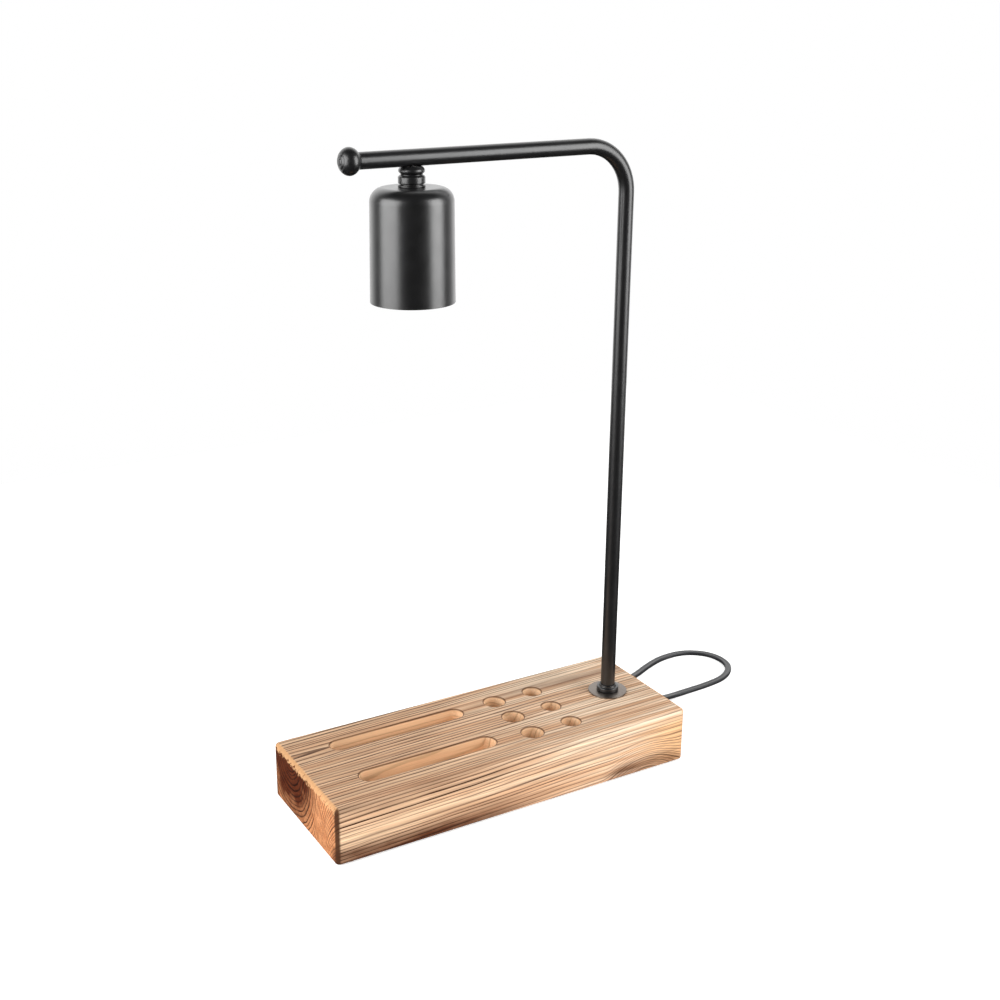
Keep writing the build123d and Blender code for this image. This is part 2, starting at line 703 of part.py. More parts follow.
def make_terminal_block():
    half_l = STRIP_BLOCK_L / 2
    half_w = STRIP_BLOCK_W / 2
    low = Z_ROOF - STRIP_BLOCK_H
    block = plate(STRIP_BLOCK_L, STRIP_BLOCK_W, STRIP_BLOCK_R, low, Z_ROOF, STRIP_BLOCK_X)
    groove = STRIP_BLOCK_R / 2
    block -= slab(STRIP_BLOCK_X - groove, STRIP_BLOCK_X + groove, -half_w, half_w, low, low + STRIP_BLOCK_R)
    for side in (-1, 1):
        x = STRIP_BLOCK_X + side * POLE_PITCH / 2
        block -= Pos(x, 0, POLE_Z) * Rot(90, 0, 0) * Cylinder(WIRE_HOLE_D / 2, STRIP_BLOCK_W)
        for y in (-half_l / 2, half_l / 2):
            block -= rod(POLE_SCREW_D + 2 * RUN_FIT, low, POLE_Z, x, y)
    return block - screw_hole(STRIP_BLOCK_X, 0, low, STRIP_BLOCK_H + CLAMP_SCREW_L)


def make_terminal_screws():
    low = Z_ROOF - STRIP_BLOCK_H
    tip = POLE_Z - WIRE_D / 2 - FACE_GAP
    screws = []
    for side in (-1, 1):
        x = STRIP_BLOCK_X + side * POLE_PITCH / 2
        for y in (-STRIP_BLOCK_L / 4, STRIP_BLOCK_L / 4):
            screw = rod(POLE_SCREW_D, low, tip, x, y)
            screws.append(screw - Pos(x, y, low) * Box(POLE_SCREW_D, SCREW_SLOT, SCREW_SLOT, align=ON_Z))
    return screws


def make_block_screw():
    low = Z_ROOF - STRIP_BLOCK_H
    return countersunk(STRIP_BLOCK_X, 0, low, STRIP_BLOCK_H + CLAMP_SCREW_L)


def make_cord_clamp():
    """A saddle strap that presses the lead against the well's roof."""
    inner = CORD_W / 2 + FACE_GAP
    outer = inner + CLAMP_T
    ear = outer + CLAMP_EAR
    roof = CORD_T + 2 * FACE_GAP
    points = [(-ear, 0), (-ear, -CLAMP_T), (-outer, -CLAMP_T), (-outer, -roof - CLAMP_T)]
    points += [(-y, z) for y, z in reversed(points)]
    points += [(inner, 0), (inner, -roof), (-inner, -roof), (-inner, 0)]
    face = Plane(origin=(CLAMP_X - CLAMP_L / 2, EXIT_Y, Z_ROOF), x_dir=(0, 1, 0), z_dir=(1, 0, 0))
    strap = extrude(face * make_face(Polyline(*points, close=True)), CLAMP_L)
    for x, y in clamp_places():
        strap -= screw_hole(x, y, Z_ROOF - CLAMP_T, CLAMP_SCREW_L)
    return strap


def make_clamp_screws():
    return [countersunk(x, y, Z_ROOF - CLAMP_T, CLAMP_SCREW_L) for x, y in clamp_places()]


# Lead, switch, hank and plug

def make_cord_inlet():
    face = Plane(origin=(CORD_INNER_X, EXIT_Y, EXIT_Z), x_dir=(0, 1, 0), z_dir=(1, 0, 0))
    return extrude(face * SlotOverall(CORD_W, CORD_T), EXIT_X - CORD_INNER_X)


def make_cord_lead():
    radii = route_radii(LEAD_ROUTE)
    print("lead radii", [round(r) for r in radii])
    return cord_along(FilletPolyline(*LEAD_ROUTE, radius=radii))


def hank_stations():
    """Points and headings of the hank: runs drawn in at the waist and half-turn folds.

    The loops spiral in on the floor, climb a layer along the innermost run and spiral out again.
    """
    half = HANK_RUN / 2
    low = HANK_LIFT + CORD_T / 2 + FLOOR_GAP
    high = low + LAYER_PITCH
    insets = (0.0, 0.5, 1.0, 1.5, 2.0, 1.5, 1.0, 0.5, 0.0)
    climb = insets.index(max(insets))
    stations = [((SWITCH_X0, SWITCH_Y, CORD_ENTRY_Z), (-1, 0, 0))]
    for index, inset in enumerate(insets):
        side = -1 if index % 2 == 0 else 1
        radius = HANK_R - inset * HANK_STEP
        begin = low if index <= climb else high
        end = low if index < climb else high
        y = HANK_Y + side * radius
        waist = HANK_Y + side * (radius - HANK_WAIST)
        stations.append(((HANK_X - side * half, y, begin), (side, 0, 0)))
        stations.append(((HANK_X, waist, (begin + end) / 2), (side, 0, 0)))
        stations.append(((HANK_X + side * half, y, end), (side, 0, 0)))
    stations.append(((PLUG_X1, PLUG_Y, PLUG_Z), (-1, 0, 0)))
    return stations


def biarc(start, heading, end, end_heading):
    """Two arcs that leave start along heading and reach end along end_heading."""
    p0, t0 = Vector(start), Vector(heading)
    p1, t1 = Vector(end), Vector(end_heading)
    chord = p1 - p0
    along = chord.dot(t0 + t1)
    spread = 2 * (1 - t0.dot(t1))
    if spread < 1e-9:
        reach = chord.dot(chord) / (4 * chord.dot(t1))
    else:
        reach = (math.sqrt(along ** 2 + 2 * spread * chord.dot(chord) / 2) - along) / spread
    first = p0 + t0 * reach
    second = p1 - t1 * reach
    joint = (first + second) * 0.5
    middle = (second - first).normalized()
    return [TangentArc(p0, joint, tangent=t0), TangentArc(joint, p1, tangent=middle)]


def hank_path():
    edges = []
    stations = hank_stations()
    for (start, heading), (end, end_heading) in zip(stations, stations[1:]):
        edges += biarc(start, heading, end, end_heading)
    return Wire(edges)


def least_gap(path):
    """The least gap between two stretches of the hank, measured on points 2 mm apart."""
    count = int(path.length / 2)
    points = [path.position_at(i / count) for i in range(count + 1)]
    apart = int(2.5 * HANK_STEP)
    least = 1e9
    for i, p in enumerate(points):
        for q in points[i + apart:]:
            level = math.hypot(p.X - q.X, p.Y - q.Y) - CORD_W
            least = min(least, max(level, abs(p.Z - q.Z) - CORD_T))
    return least


def make_cord_hank():
    path = hank_path()
    print("hank least gap", round(least_gap(path), 2))
    return cord_along(path)


def make_hank_tie():
    """A flat band round the hank's waist."""
    half = HANK_R - HANK_WAIST + CORD_W / 2 + TIE_GAP
    low = HANK_LIFT + FLOOR_GAP - TIE_GAP
    high = low + LAYER_PITCH + CORD_T + 2 * TIE_GAP
    middle = (low + high) / 2
    face = Plane(origin=(HANK_X - TIE_W / 2, HANK_Y, middle), x_dir=(0, 1, 0), z_dir=(1, 0, 0))
    outer = RectangleRounded(2 * half + 2 * TIE_T, high - low + 2 * TIE_T, CORD_T / 2)
    inner = RectangleRounded(2 * half, high - low, CORD_T / 2 - TIE_T)
    return extrude(face * (outer - inner), TIE_W)


def neck(x_body, x_end, y, z, wide, high):
    """A tapered strain relief from a housing to the lead."""
    body = Plane(origin=(x_body, y, z), x_dir=(0, 1, 0), z_dir=(1, 0, 0))
    tip = Plane(origin=(x_end, y, z), x_dir=(0, 1, 0), z_dir=(1, 0, 0))
    broad = RectangleRounded(wide, high, high / 3)
    small = RectangleRounded(1.4 * CORD_W, high * 0.8, high / 4)
    return loft([body * broad, tip * small])


def switch_shell():
    """Both halves of the switch housing in one piece, before the split."""
    body = plate(SWITCH_L, SWITCH_W, SWITCH_R, 0, SWITCH_H, SWITCH_X, SWITCH_Y)
    body = fillet(body.faces().sort_by(Axis.Z)[-1].edges(), SWITCH_TOP_R)
    inside = plate(SWITCH_L - 2 * SWITCH_WALL, SWITCH_W - 2 * SWITCH_WALL, SWITCH_R - SWITCH_WALL,
                   SWITCH_WALL, SWITCH_H - SWITCH_WALL, SWITCH_X, SWITCH_Y)
    body -= inside
    for side in (-1, 1):
        wall = SWITCH_X + side * (SWITCH_L / 2 - SWITCH_WALL / 2)
        tip = SWITCH_X + side * (SWITCH_L / 2 + SWITCH_NECK)
        body += neck(wall, tip, SWITCH_Y, CORD_ENTRY_Z, SWITCH_W / 2, SWITCH_NECK_H)
        boss = SWITCH_X + side * SCREW_OFFSET
        body += rod(SWITCH_SCREW_D + SWITCH_BOSS, 0, SWITCH_H - SWITCH_WALL / 2, boss, SWITCH_Y)
        body -= rod(SWITCH_SCREW_D + 2 * RUN_FIT, 0, SWITCH_H - 2 * SWITCH_WALL, boss, SWITCH_Y)
        body -= rod(2 * SWITCH_SCREW_D + 2 * RUN_FIT, 0, SWITCH_WALL, boss, SWITCH_Y)
    half_l = ROCKER_L / 2 + ROCKER_GAP
    half_w = ROCKER_W / 2 + ROCKER_GAP / 2
    window = slab(SWITCH_X - half_l, SWITCH_X + half_l, SWITCH_Y - half_w, SWITCH_Y + half_w,
                  ROCKER_Z, SWITCH_H)
    return body - window


def switch_half(z_low, z_high):
    """The part of the housing between two heights."""
    reach = SWITCH_L / 2 + SWITCH_NECK + 1
    room = slab(SWITCH_X - reach, SWITCH_X + reach, SWITCH_Y - SWITCH_W, SWITCH_Y + SWITCH_W, z_low, z_high)
    return switch_shell() & room


def make_switch_lower():
    return switch_half(0, SWITCH_SPLIT)


def make_switch_upper():
    return switch_half(SWITCH_SPLIT, SWITCH_H)


def make_switch_screws():
    screws = []
    for side in (-1, 1):
        x = SWITCH_X + side * SCREW_OFFSET
        screw = rod(SWITCH_SCREW_D, FLOOR_GAP, SWITCH_H - 2.5 * SWITCH_WALL, x, SWITCH_Y)
        screw += rod(2 * SWITCH_SCREW_D, FLOOR_GAP, SWITCH_WALL, x, SWITCH_Y)
        groove = Box(2 * SWITCH_SCREW_D, SCREW_SLOT, SCREW_SLOT, align=ON_Z)
        screws.append(screw - Pos(x, SWITCH_Y, FLOOR_GAP) * groove)
    return screws


def make_switch_rocker():
    """A rocker with a shallow valley on top, stored tilted to its off side."""
    half = ROCKER_L / 2
    crest = SWITCH_H - ROCKER_Z + ROCKER_PROUD
    valley = crest - ROCKER_DIP
    toe = half - ROCKER_EASE
    points = [(-half, crest), (0, valley), (half, crest), (toe, -ROCKER_FOOT), (-toe, -ROCKER_FOOT)]
    side = Plane(origin=(0, ROCKER_W / 2, 0), x_dir=(1, 0, 0), z_dir=(0, -1, 0))
    rocker = extrude(side * make_face(Polyline(*points, close=True)), ROCKER_W)
    rocker = fillet(rocker.edges().group_by(Axis.Z)[-1], ROCKER_EASE)
    rocker -= Rot(90, 0, 0) * Cylinder(ROCKER_PIN_D / 2 + RUN_FIT, ROCKER_W)
    return Pos(SWITCH_X, SWITCH_Y, ROCKER_Z) * Rot(0, -ROCKER_TILT, 0) * rocker


def make_rocker_pin():
    length = SWITCH_W - 2 * SWITCH_WALL
    return Pos(SWITCH_X, SWITCH_Y, ROCKER_Z) * Rot(90, 0, 0) * Cylinder(ROCKER_PIN_D / 2, length)


def make_switch_contacts():
    """Two bent brass strips on the floor of the housing, one under each end of the rocker."""
    contacts = []
    half = ROCKER_W / 4
    for side in (-1, 1):
        outer = SWITCH_X + side * ROCKER_L / 2
        inner = SWITCH_X + side * ROCKER_L / 5
        low, high = sorted((outer, inner))
        strip = slab(low, high, SWITCH_Y - half, SWITCH_Y + half, SWITCH_WALL, SWITCH_WALL + STRIP_T)
        low, high = sorted((inner, inner + side * STRIP_T))
        top = SWITCH_SPLIT
        contacts.append(strip + slab(low, high, SWITCH_Y - half, SWITCH_Y + half, SWITCH_WALL, top))
    return contacts


def pin_places():
    """The plug's two pins across the lead."""
    return [PLUG_Y - PIN_PITCH / 2, PLUG_Y + PIN_PITCH / 2]


def make_plug_body():
    """A flat plug, broad at its pins and drawn in to a tapered neck."""
    face_x = PLUG_X1 - PLUG_NECK_L - PLUG_L
    back_x = PLUG_X1 - PLUG_NECK_L
    half = PLUG_W / 2
    slim = PLUG_W / 4
    middle = face_x + PLUG_L * 0.45
    points = [(face_x, -half), (middle, -half), (back_x, -slim), (back_x, slim), (middle, half), (face_x, half)]
    outline = make_face(Polyline(*[(x, PLUG_Y + y) for x, y in points], close=True))
    body = extrude(outline, PLUG_H)
    body = fillet(body.edges().filter_by(Axis.Z), PLUG_R)
    body = fillet(body.faces().sort_by(Axis.Z)[-1].edges(), PLUG_EDGE)
    body = fillet(body.faces().sort_by(Axis.Z)[0].edges(), PLUG_EDGE)
    body += neck(back_x - PLUG_EDGE, PLUG_X1, PLUG_Y, PLUG_Z, PLUG_W / 3, PLUG_NECK_H)
    for y in pin_places():
        bore = Pos(face_x + PIN_ROOT / 2, y, PLUG_Z) * Rot(0, 90, 0)
        body -= bore * Cylinder(PIN_D / 2 + RUN_FIT, PIN_ROOT)
    return body


def make_plug_pins():
    face_x = PLUG_X1 - PLUG_NECK_L - PLUG_L
    pins = []
    for y in pin_places():
        pin = Cylinder(PIN_D / 2, PIN_ROOT + PIN_L)
        pin = fillet(pin.edges().sort_by(Axis.Z)[0], PIN_D / 4)
        middle = face_x + PIN_ROOT / 2 - PIN_L / 2
        pins.append(Pos(middle, y, PLUG_Z) * Rot(0, 90, 0) * pin)
    return pins


MAKERS = {
    "base_block": make_base_block,
    "base_cover": make_base_cover,
    "cover_screws": make_cover_screws,
    "foot_pads": make_foot_pads,
    "stem_washer": make_stem_washer,
    "stem_collar": make_stem_collar,
    "under_washer": make_under_washer,
    "stem_nut": make_stem_nut,
    "stem_tube": make_stem_tube,
    "ball_finial": make_ball_finial,
    "arm_boss": make_arm_boss,
    "swivel_stud": make_swivel_stud,
    "friction_washer": make_friction_washer,
    "swivel_ring": make_swivel_ring,
    "shade_nipple": make_shade_nipple,
    "nipple_nut": make_nipple_nut,
    "shade_cup": make_shade_cup,
    "holder_cap": make_holder_cap,
    "holder_body": make_holder_body,
    "holder_shell": make_holder_shell,
    "centre_contact": make_centre_contact,
    "side_contact": make_side_contact,
    "holder_screws": make_holder_screws,
    "arm_leads": make_arm_leads,
    "holder_leads": make_holder_leads,
    "base_leads": make_base_leads,
    "cord_cores": make_cord_cores,
    "terminal_block": make_terminal_block,
    "terminal_screws": make_terminal_screws,
    "block_screw": make_block_screw,
    "cord_clamp": make_cord_clamp,
    "clamp_screws": make_clamp_screws,
    "cord_inlet": make_cord_inlet,
    "cord_lead": make_cord_lead,
    "switch_lower": make_switch_lower,
    "switch_upper": make_switch_upper,
    "switch_screws": make_switch_screws,
    "switch_rocker": make_switch_rocker,
    "rocker_pin": make_rocker_pin,
    "switch_contacts": make_switch_contacts,
    "cord_hank": make_cord_hank,
    "hank_tie": make_hank_tie,
    "plug_body": make_plug_body,
    "plug_pins": make_plug_pins,
}

os.makedirs("parts", exist_ok=True)
for node, maker in MAKERS.items():
    shape = maker()
    if isinstance(shape, list):
        shape = Compound(children=shape)
    export_step(shape, f"parts/{node}.step")
    print(node, "made")
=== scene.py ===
# %% [markdown]
# # A desk lamp on a scorched pine block
#
# The lamp stands on a thick pine block with two slots and six round holes. A bent black tube is
# both stem and arm, and a cup shade hangs from it on a small swivel. This lesson dresses the
# finished solids: it gives each one the surface of its real material, and it makes the pieces
# that a solid model gives too plainly, such as the flexible lead.
#
# Everything is in metres, in the solids' own frame: +X runs along the block towards the stem,
# +Y to the back and +Z up.

import math
from functools import partial

import bmesh
import bpy
from mathutils import Matrix, Vector


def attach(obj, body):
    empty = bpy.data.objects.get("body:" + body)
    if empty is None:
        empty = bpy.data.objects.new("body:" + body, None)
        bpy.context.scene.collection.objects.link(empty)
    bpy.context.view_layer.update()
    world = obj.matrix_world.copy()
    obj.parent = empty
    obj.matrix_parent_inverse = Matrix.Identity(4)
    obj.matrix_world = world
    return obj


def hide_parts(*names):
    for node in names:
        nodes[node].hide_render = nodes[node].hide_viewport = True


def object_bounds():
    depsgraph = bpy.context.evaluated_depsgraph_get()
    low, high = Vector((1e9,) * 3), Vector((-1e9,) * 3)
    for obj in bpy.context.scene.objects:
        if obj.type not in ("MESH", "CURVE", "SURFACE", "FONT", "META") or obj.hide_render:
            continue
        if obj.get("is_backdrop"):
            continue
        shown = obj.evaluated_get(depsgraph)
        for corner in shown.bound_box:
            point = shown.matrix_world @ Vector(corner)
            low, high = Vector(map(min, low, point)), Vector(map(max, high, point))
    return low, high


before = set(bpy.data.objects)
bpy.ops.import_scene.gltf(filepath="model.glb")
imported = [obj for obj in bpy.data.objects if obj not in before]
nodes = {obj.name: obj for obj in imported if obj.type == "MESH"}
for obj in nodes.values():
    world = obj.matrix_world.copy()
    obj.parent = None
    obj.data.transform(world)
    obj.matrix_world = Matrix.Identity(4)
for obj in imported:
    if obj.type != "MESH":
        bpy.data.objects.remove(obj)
scene = bpy.context.scene
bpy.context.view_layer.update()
MM = 0.001


# %% [markdown]
# ## The camera
#
# The photograph was taken from the front left, a little above the lamp, with a long lens. The
# camera's place and its lens were found from the block's corners, the stem and the arm. The
# picture was cropped off centre, and the lens shift repeats that crop.

# %% Camera
FOCAL_PX = 1402.5
IMAGE_PX = 1000
SENSOR_MM = 36.0
CENTRE_PX = (430, 470)
CAMERA_AT = Vector((-0.46807, -0.77975, 0.54187))
YAW, PITCH, ROLL = 0.498795, 0.321893, 0.0061033
NEAR, FAR = 0.05, 20

ahead = Vector((math.sin(YAW) * math.cos(PITCH), math.cos(YAW) * math.cos(PITCH), -math.sin(PITCH)))
level = Vector((math.cos(YAW), -math.sin(YAW), 0))
down = ahead.cross(level)
right = level * math.cos(ROLL) + down * math.sin(ROLL)
up = level * math.sin(ROLL) - down * math.cos(ROLL)

lens = bpy.data.cameras.new("camera")
lens.sensor_width = SENSOR_MM
lens.lens = FOCAL_PX * SENSOR_MM / IMAGE_PX
lens.shift_x = (IMAGE_PX / 2 - CENTRE_PX[0]) / IMAGE_PX
lens.shift_y = (CENTRE_PX[1] - IMAGE_PX / 2) / IMAGE_PX
lens.clip_start, lens.clip_end = NEAR, FAR
camera = bpy.data.objects.new("camera", lens)
camera.matrix_world = Matrix((right, up, -ahead)).transposed().to_4x4()
camera.location = CAMERA_AT
scene.collection.objects.link(camera)
scene.camera = camera
print("lens", round(lens.lens, 2), "mm")


# %% [markdown]
# ## The flat lead
#
# The lead is a flat twin cable: two cores side by side in one black jacket, with a shallow groove
# between them. It leaves the block's end, sinks to the floor, turns in a wide bend and comes to
# the in-line switch. A tube with a round bevel would lose the flat sides, so the lead is a flat
# section swept along points that are read from a smooth NURBS spline. Its control points are the
# route on the floor.

# %% Helpers for a lead
POINTS_PER_SPAN = 10
SPLINE_ORDER = 3


def spline_points(control):
    """Points along a smooth NURBS line with the given control points."""
    curve = bpy.data.curves.new("route", "CURVE")
    curve.dimensions = "3D"
    curve.resolution_u = POINTS_PER_SPAN
    spline = curve.splines.new("NURBS")
    spline.points.add(len(control) - 1)
    for point, place in zip(spline.points, control):
        point.co = (*place, 1.0)
    spline.order_u = SPLINE_ORDER
    spline.use_endpoint_u = True
    carrier = bpy.data.objects.new("route", curve)
    scene.collection.objects.link(carrier)
    bpy.context.view_layer.update()
    depsgraph = bpy.context.evaluated_depsgraph_get()
    line = bpy.data.meshes.new_from_object(carrier.evaluated_get(depsgraph))
    points = [vertex.co.copy() for vertex in line.vertices]
    bpy.data.objects.remove(carrier)
    bpy.data.curves.remove(curve)
    bpy.data.meshes.remove(line)
    return points


def place_mesh(name, shape, smooth=True):
    """Turns a bmesh into an object at the origin."""
    mesh = bpy.data.meshes.new(name)
    shape.to_mesh(mesh)
    shape.free()
    for face in mesh.polygons:
        face.use_smooth = smooth
    piece = bpy.data.objects.new(name, mesh)
    scene.collection.objects.link(piece)
    print(name, "faces:", len(mesh.polygons))
    return piece


def bridge(shape, low, high):
    """Joins two closed rings of vertices with a band of faces."""
    count = len(low)
    for k in range(count):
        after = (k + 1) % count
        shape.faces.new((low[k], low[after], high[after], high[k]))


def flat_section(width, thickness, edge, groove):
    """The lead's outline as (across, up) pairs: eased edges and a groove in each flat face."""
    half_w, half_t = width / 2, thickness / 2
    ease = [math.radians(a) for a in (0, 30, 60, 90)]
    mid_w, mid_t = half_w - edge, half_t - edge
    corner = [(mid_w + edge * math.cos(a), mid_t + edge * math.sin(a)) for a in ease]
    top = corner + [(groove * 2, half_t), (0, half_t - groove), (-groove * 2, half_t)]
    side = top + [(-across, rise) for across, rise in reversed(corner)]
    return side + [(-across, -rise) for across, rise in side]


def sweep_lead(name, points, outline):
    """Sweeps an outline along points with its broad side level."""
    shape = bmesh.new()
    rings = []
    for i, place in enumerate(points):
        heading = points[min(i + 1, len(points) - 1)] - points[max(i - 1, 0)]
        across = Vector((0, 0, 1)).cross(heading).normalized()
        rise = heading.cross(across).normalized()
        rings.append([shape.verts.new(place + across * a + rise * r) for a, r in outline])
    for low, high in zip(rings, rings[1:]):
        bridge(shape, low, high)
    shape.faces.new(list(reversed(rings[0])))
    shape.faces.new(rings[-1])
    bmesh.ops.recalc_face_normals(shape, faces=shape.faces)
    return place_mesh(name, shape)


def line_length(points):
    """The length of a line through the points."""
    return sum((b - a).length for a, b in zip(points, points[1:]))


# %% Lead from the block to the switch
LEAD_W, LEAD_T, LEAD_EDGE, LEAD_GROOVE = 5.0 * MM, 3.0 * MM, 0.7 * MM, 0.25 * MM
FLOOR_Z = 1.6
LEAD_ROUTE = [
    (143.0, 20.0, 11.45),
    (161.0, 20.0, 11.45),
    (179.0, 25.0, 6.6),
    (196.0, 30.4, 2.4),
    (215.0, 32.4, FLOOR_Z),
    (237.0, 33.2, FLOOR_Z),
    (259.0, 37.0, FLOOR_Z),
    (276.5, 52.0, FLOOR_Z),
    (277.0, 75.5, FLOOR_Z),
    (259.5, 91.5, FLOOR_Z),
    (235.0, 92.5, FLOOR_Z),
    (213.0, 85.0, FLOOR_Z),
    (191.0, 74.5, FLOOR_Z),
    (168.0, 68.0, 4.0),
    (150.0, 68.0, 4.0),
]
section = flat_section(LEAD_W, LEAD_T, LEAD_EDGE, LEAD_GROOVE)
lead_line = spline_points([Vector(p) * MM for p in LEAD_ROUTE])
lead = sweep_lead("lead_to_switch", lead_line, section)
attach(lead, "base")
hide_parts("cord_lead")
print("lead to the switch:", round(line_length(lead_line), 4), "m")


# %% [markdown]
# ## The hank
#
# The spare lead is folded into a flat hank, tied at its waist and laid behind the block. It winds
# inwards on the floor, climbs along its innermost run and winds outwards again on top. One loop
# gives the control points: each run is drawn in at the tie, and each fold is half a turn.

# %% Hank of spare lead
HANK_X, HANK_Y = 4.5, 82.6
HANK_HALF_RUN, HANK_R, HANK_STEP, HANK_WAIST = 45.0, 24.8, 5.5, 4.5
HANK_LOW, LAYER_PITCH = 2.5, 4.0
RUN_POINTS = 7
FOLD_POINTS = 6
INSETS = (0.0, 0.5, 1.0, 1.5, 2.0, 1.5, 1.0, 0.5, 0.0)

hank_route = [(92.0, 68.0, 4.0), (81.0, 68.0, 3.9), (70.0, 63.4, 3.0), (60.0, 58.4, 2.6)]
climb = INSETS.index(max(INSETS))
for index, inset in enumerate(INSETS):
    side = -1 if index % 2 == 0 else 1
    radius = HANK_R - inset * HANK_STEP
    begin = HANK_LOW if index <= climb else HANK_LOW + LAYER_PITCH
    end = HANK_LOW if index < climb else HANK_LOW + LAYER_PITCH
    for k in range(RUN_POINTS):
        share = k / (RUN_POINTS - 1)
        along = side * HANK_HALF_RUN * (2 * share - 1)
        drawn_in = HANK_WAIST * (1 + math.cos(math.pi * (2 * share - 1))) / 2
        rise = begin + (end - begin) * (1 - math.cos(math.pi * share)) / 2
        hank_route.append((HANK_X + along, HANK_Y + side * (radius - drawn_in), rise))
    if index == len(INSETS) - 1:
        break
    next_radius = HANK_R - INSETS[index + 1] * HANK_STEP
    fold_r = (radius + next_radius) / 2
    middle_y = HANK_Y + side * (radius - fold_r)
    half_step = math.pi / FOLD_POINTS / 2
    reach = fold_r / math.cos(half_step)
    for k in range(FOLD_POINTS):
        turn = (2 * k + 1) * half_step
        x = HANK_X + side * (HANK_HALF_RUN + reach * math.sin(turn))
        hank_route.append((x, middle_y + side * reach * math.cos(turn), end))
hank_route += [(-48.0, 57.8, 6.5), (-55.5, 62.6, 6.5), (-63.0, 67.5, 6.5), (-70.5, 67.5, 6.5)]
hank_line = spline_points([Vector(p) * MM for p in hank_route])
hank = sweep_lead("lead_hank", hank_line, section)
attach(hank, "base")
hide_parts("cord_hank")
print("lead in the hank:", round(line_length(hank_line), 4), "m,", len(hank_route), "controls")


# %% [markdown]
# ## Floor, light and background
#
# The picture is a studio shot: a small white table in front of a white wall, in a dim room. Two
# wide soft boxes, one at the left and one at the front right, give the black tube and the shade
# their pale upright bands. Soft light, most of it from above, fills the rest. To the camera wall
# and table are pure white. Gloss sees the wall only at the back, a dim room in front and a dim
# table, or the black paint would turn grey.

# %% Helpers for colour, materials and nodes
def linear(hex_colour):
    """An sRGB hex colour as linear RGBA."""
    rgb = []
    for i in (1, 3, 5):
        c = int(hex_colour[i:i + 2], 16) / 255
        rgb.append(c / 12.92 if c <= 0.04045 else ((c + 0.055) / 1.055) ** 2.4)
    return (*rgb, 1.0)


def bare_material(name):
    """A material whose tree is still empty."""
    material = bpy.data.materials.new(name)
    material.use_nodes = True
    material.node_tree.nodes.clear()
    return material


def add(tree, kind, inputs=None, **settings):
    """Adds a node with its settings.

    An input is a value, a socket, or a node whose first output it takes.
    """
    node = tree.nodes.new(kind)
    for name, value in settings.items():
        setattr(node, name, value)
    for key, value in (inputs or {}).items():
        if isinstance(value, bpy.types.Node):
            value = value.outputs[0]
        if isinstance(value, bpy.types.NodeSocket):
            tree.links.new(value, node.inputs[key])
        else:
            node.inputs[key].default_value = value
    return node


# %% Lamps
def soft_box(name, at, aim, width, height, watts):
    """A rectangular lamp at a place, turned towards a point."""
    light = bpy.data.lights.new(name, "AREA")
    light.shape = "RECTANGLE"
    light.size, light.size_y = width, height
    light.energy = watts
    lamp = bpy.data.objects.new(name, light)
    lamp.location = at
    lamp.rotation_euler = (Vector(aim) - Vector(at)).to_track_quat("-Z", "Y").to_euler()
    scene.collection.objects.link(lamp)
    print(name, watts, "W from", at)


LIT_POINT = (-0.05, 0.0, 0.4)
soft_box("left_box", (-1.24, 0.04, 0.62), LIT_POINT, width=1.25, height=1.2, watts=24.0)
soft_box("right_box", (0.79, -0.94, 0.62), LIT_POINT, width=0.9, height=1.2, watts=20.0)

# %% World
WHITE = (1, 1, 1, 1)
# Fill light near the horizon and overhead, and the heights between which it grows
FILL_LEVEL, FILL_ABOVE = 0.2, 0.6
FILL_FROM, FILL_TO = 0.1, 0.9
# What gloss sees in front and at the back, and how far round to the back the wall begins
DIM_ROOM, WALL_IN_GLOSS = 0.02, 1.8
WALL_FROM, WALL_TO = 0.25, 0.8
world = bpy.data.worlds.new("white_wall")
world.use_nodes = True
scene.world = world
sky = world.node_tree
sky.nodes.clear()
wall_side = Vector((math.sin(YAW), math.cos(YAW), 0.0))
path = add(sky, "ShaderNodeLightPath")
looking = add(sky, "ShaderNodeTexCoord")
facing = add(sky, "ShaderNodeVectorMath", {
    0: looking.outputs["Generated"], 1: wall_side,
}, operation="DOT_PRODUCT")
wall = add(sky, "ShaderNodeMapRange", {
    "Value": facing.outputs["Value"], "From Min": WALL_FROM, "From Max": WALL_TO,
    "To Min": DIM_ROOM, "To Max": WALL_IN_GLOSS,
}, interpolation_type="SMOOTHSTEP")
height = add(sky, "ShaderNodeSeparateXYZ", {0: looking.outputs["Generated"]})
fill = add(sky, "ShaderNodeMapRange", {
    "Value": height.outputs["Z"], "From Min": FILL_FROM, "From Max": FILL_TO,
    "To Min": FILL_LEVEL, "To Max": FILL_ABOVE,
})
in_gloss = add(sky, "ShaderNodeMix", {
    0: path.outputs["Is Glossy Ray"], 2: fill.outputs[0], 3: wall.outputs[0],
}, data_type="FLOAT")
shown = add(sky, "ShaderNodeMath", {
    0: path.outputs["Is Camera Ray"], 1: path.outputs["Is Transmission Ray"],
}, operation="MAXIMUM")
strength = add(sky, "ShaderNodeMix", {0: shown, 2: in_gloss, 3: 1.0}, data_type="FLOAT")
backdrop = add(sky, "ShaderNodeBackground", {"Color": WHITE, "Strength": strength})
add(sky, "ShaderNodeOutputWorld", {"Surface": backdrop})
scene.view_settings.view_transform = "Standard"
print("world nodes:", len(sky.nodes))

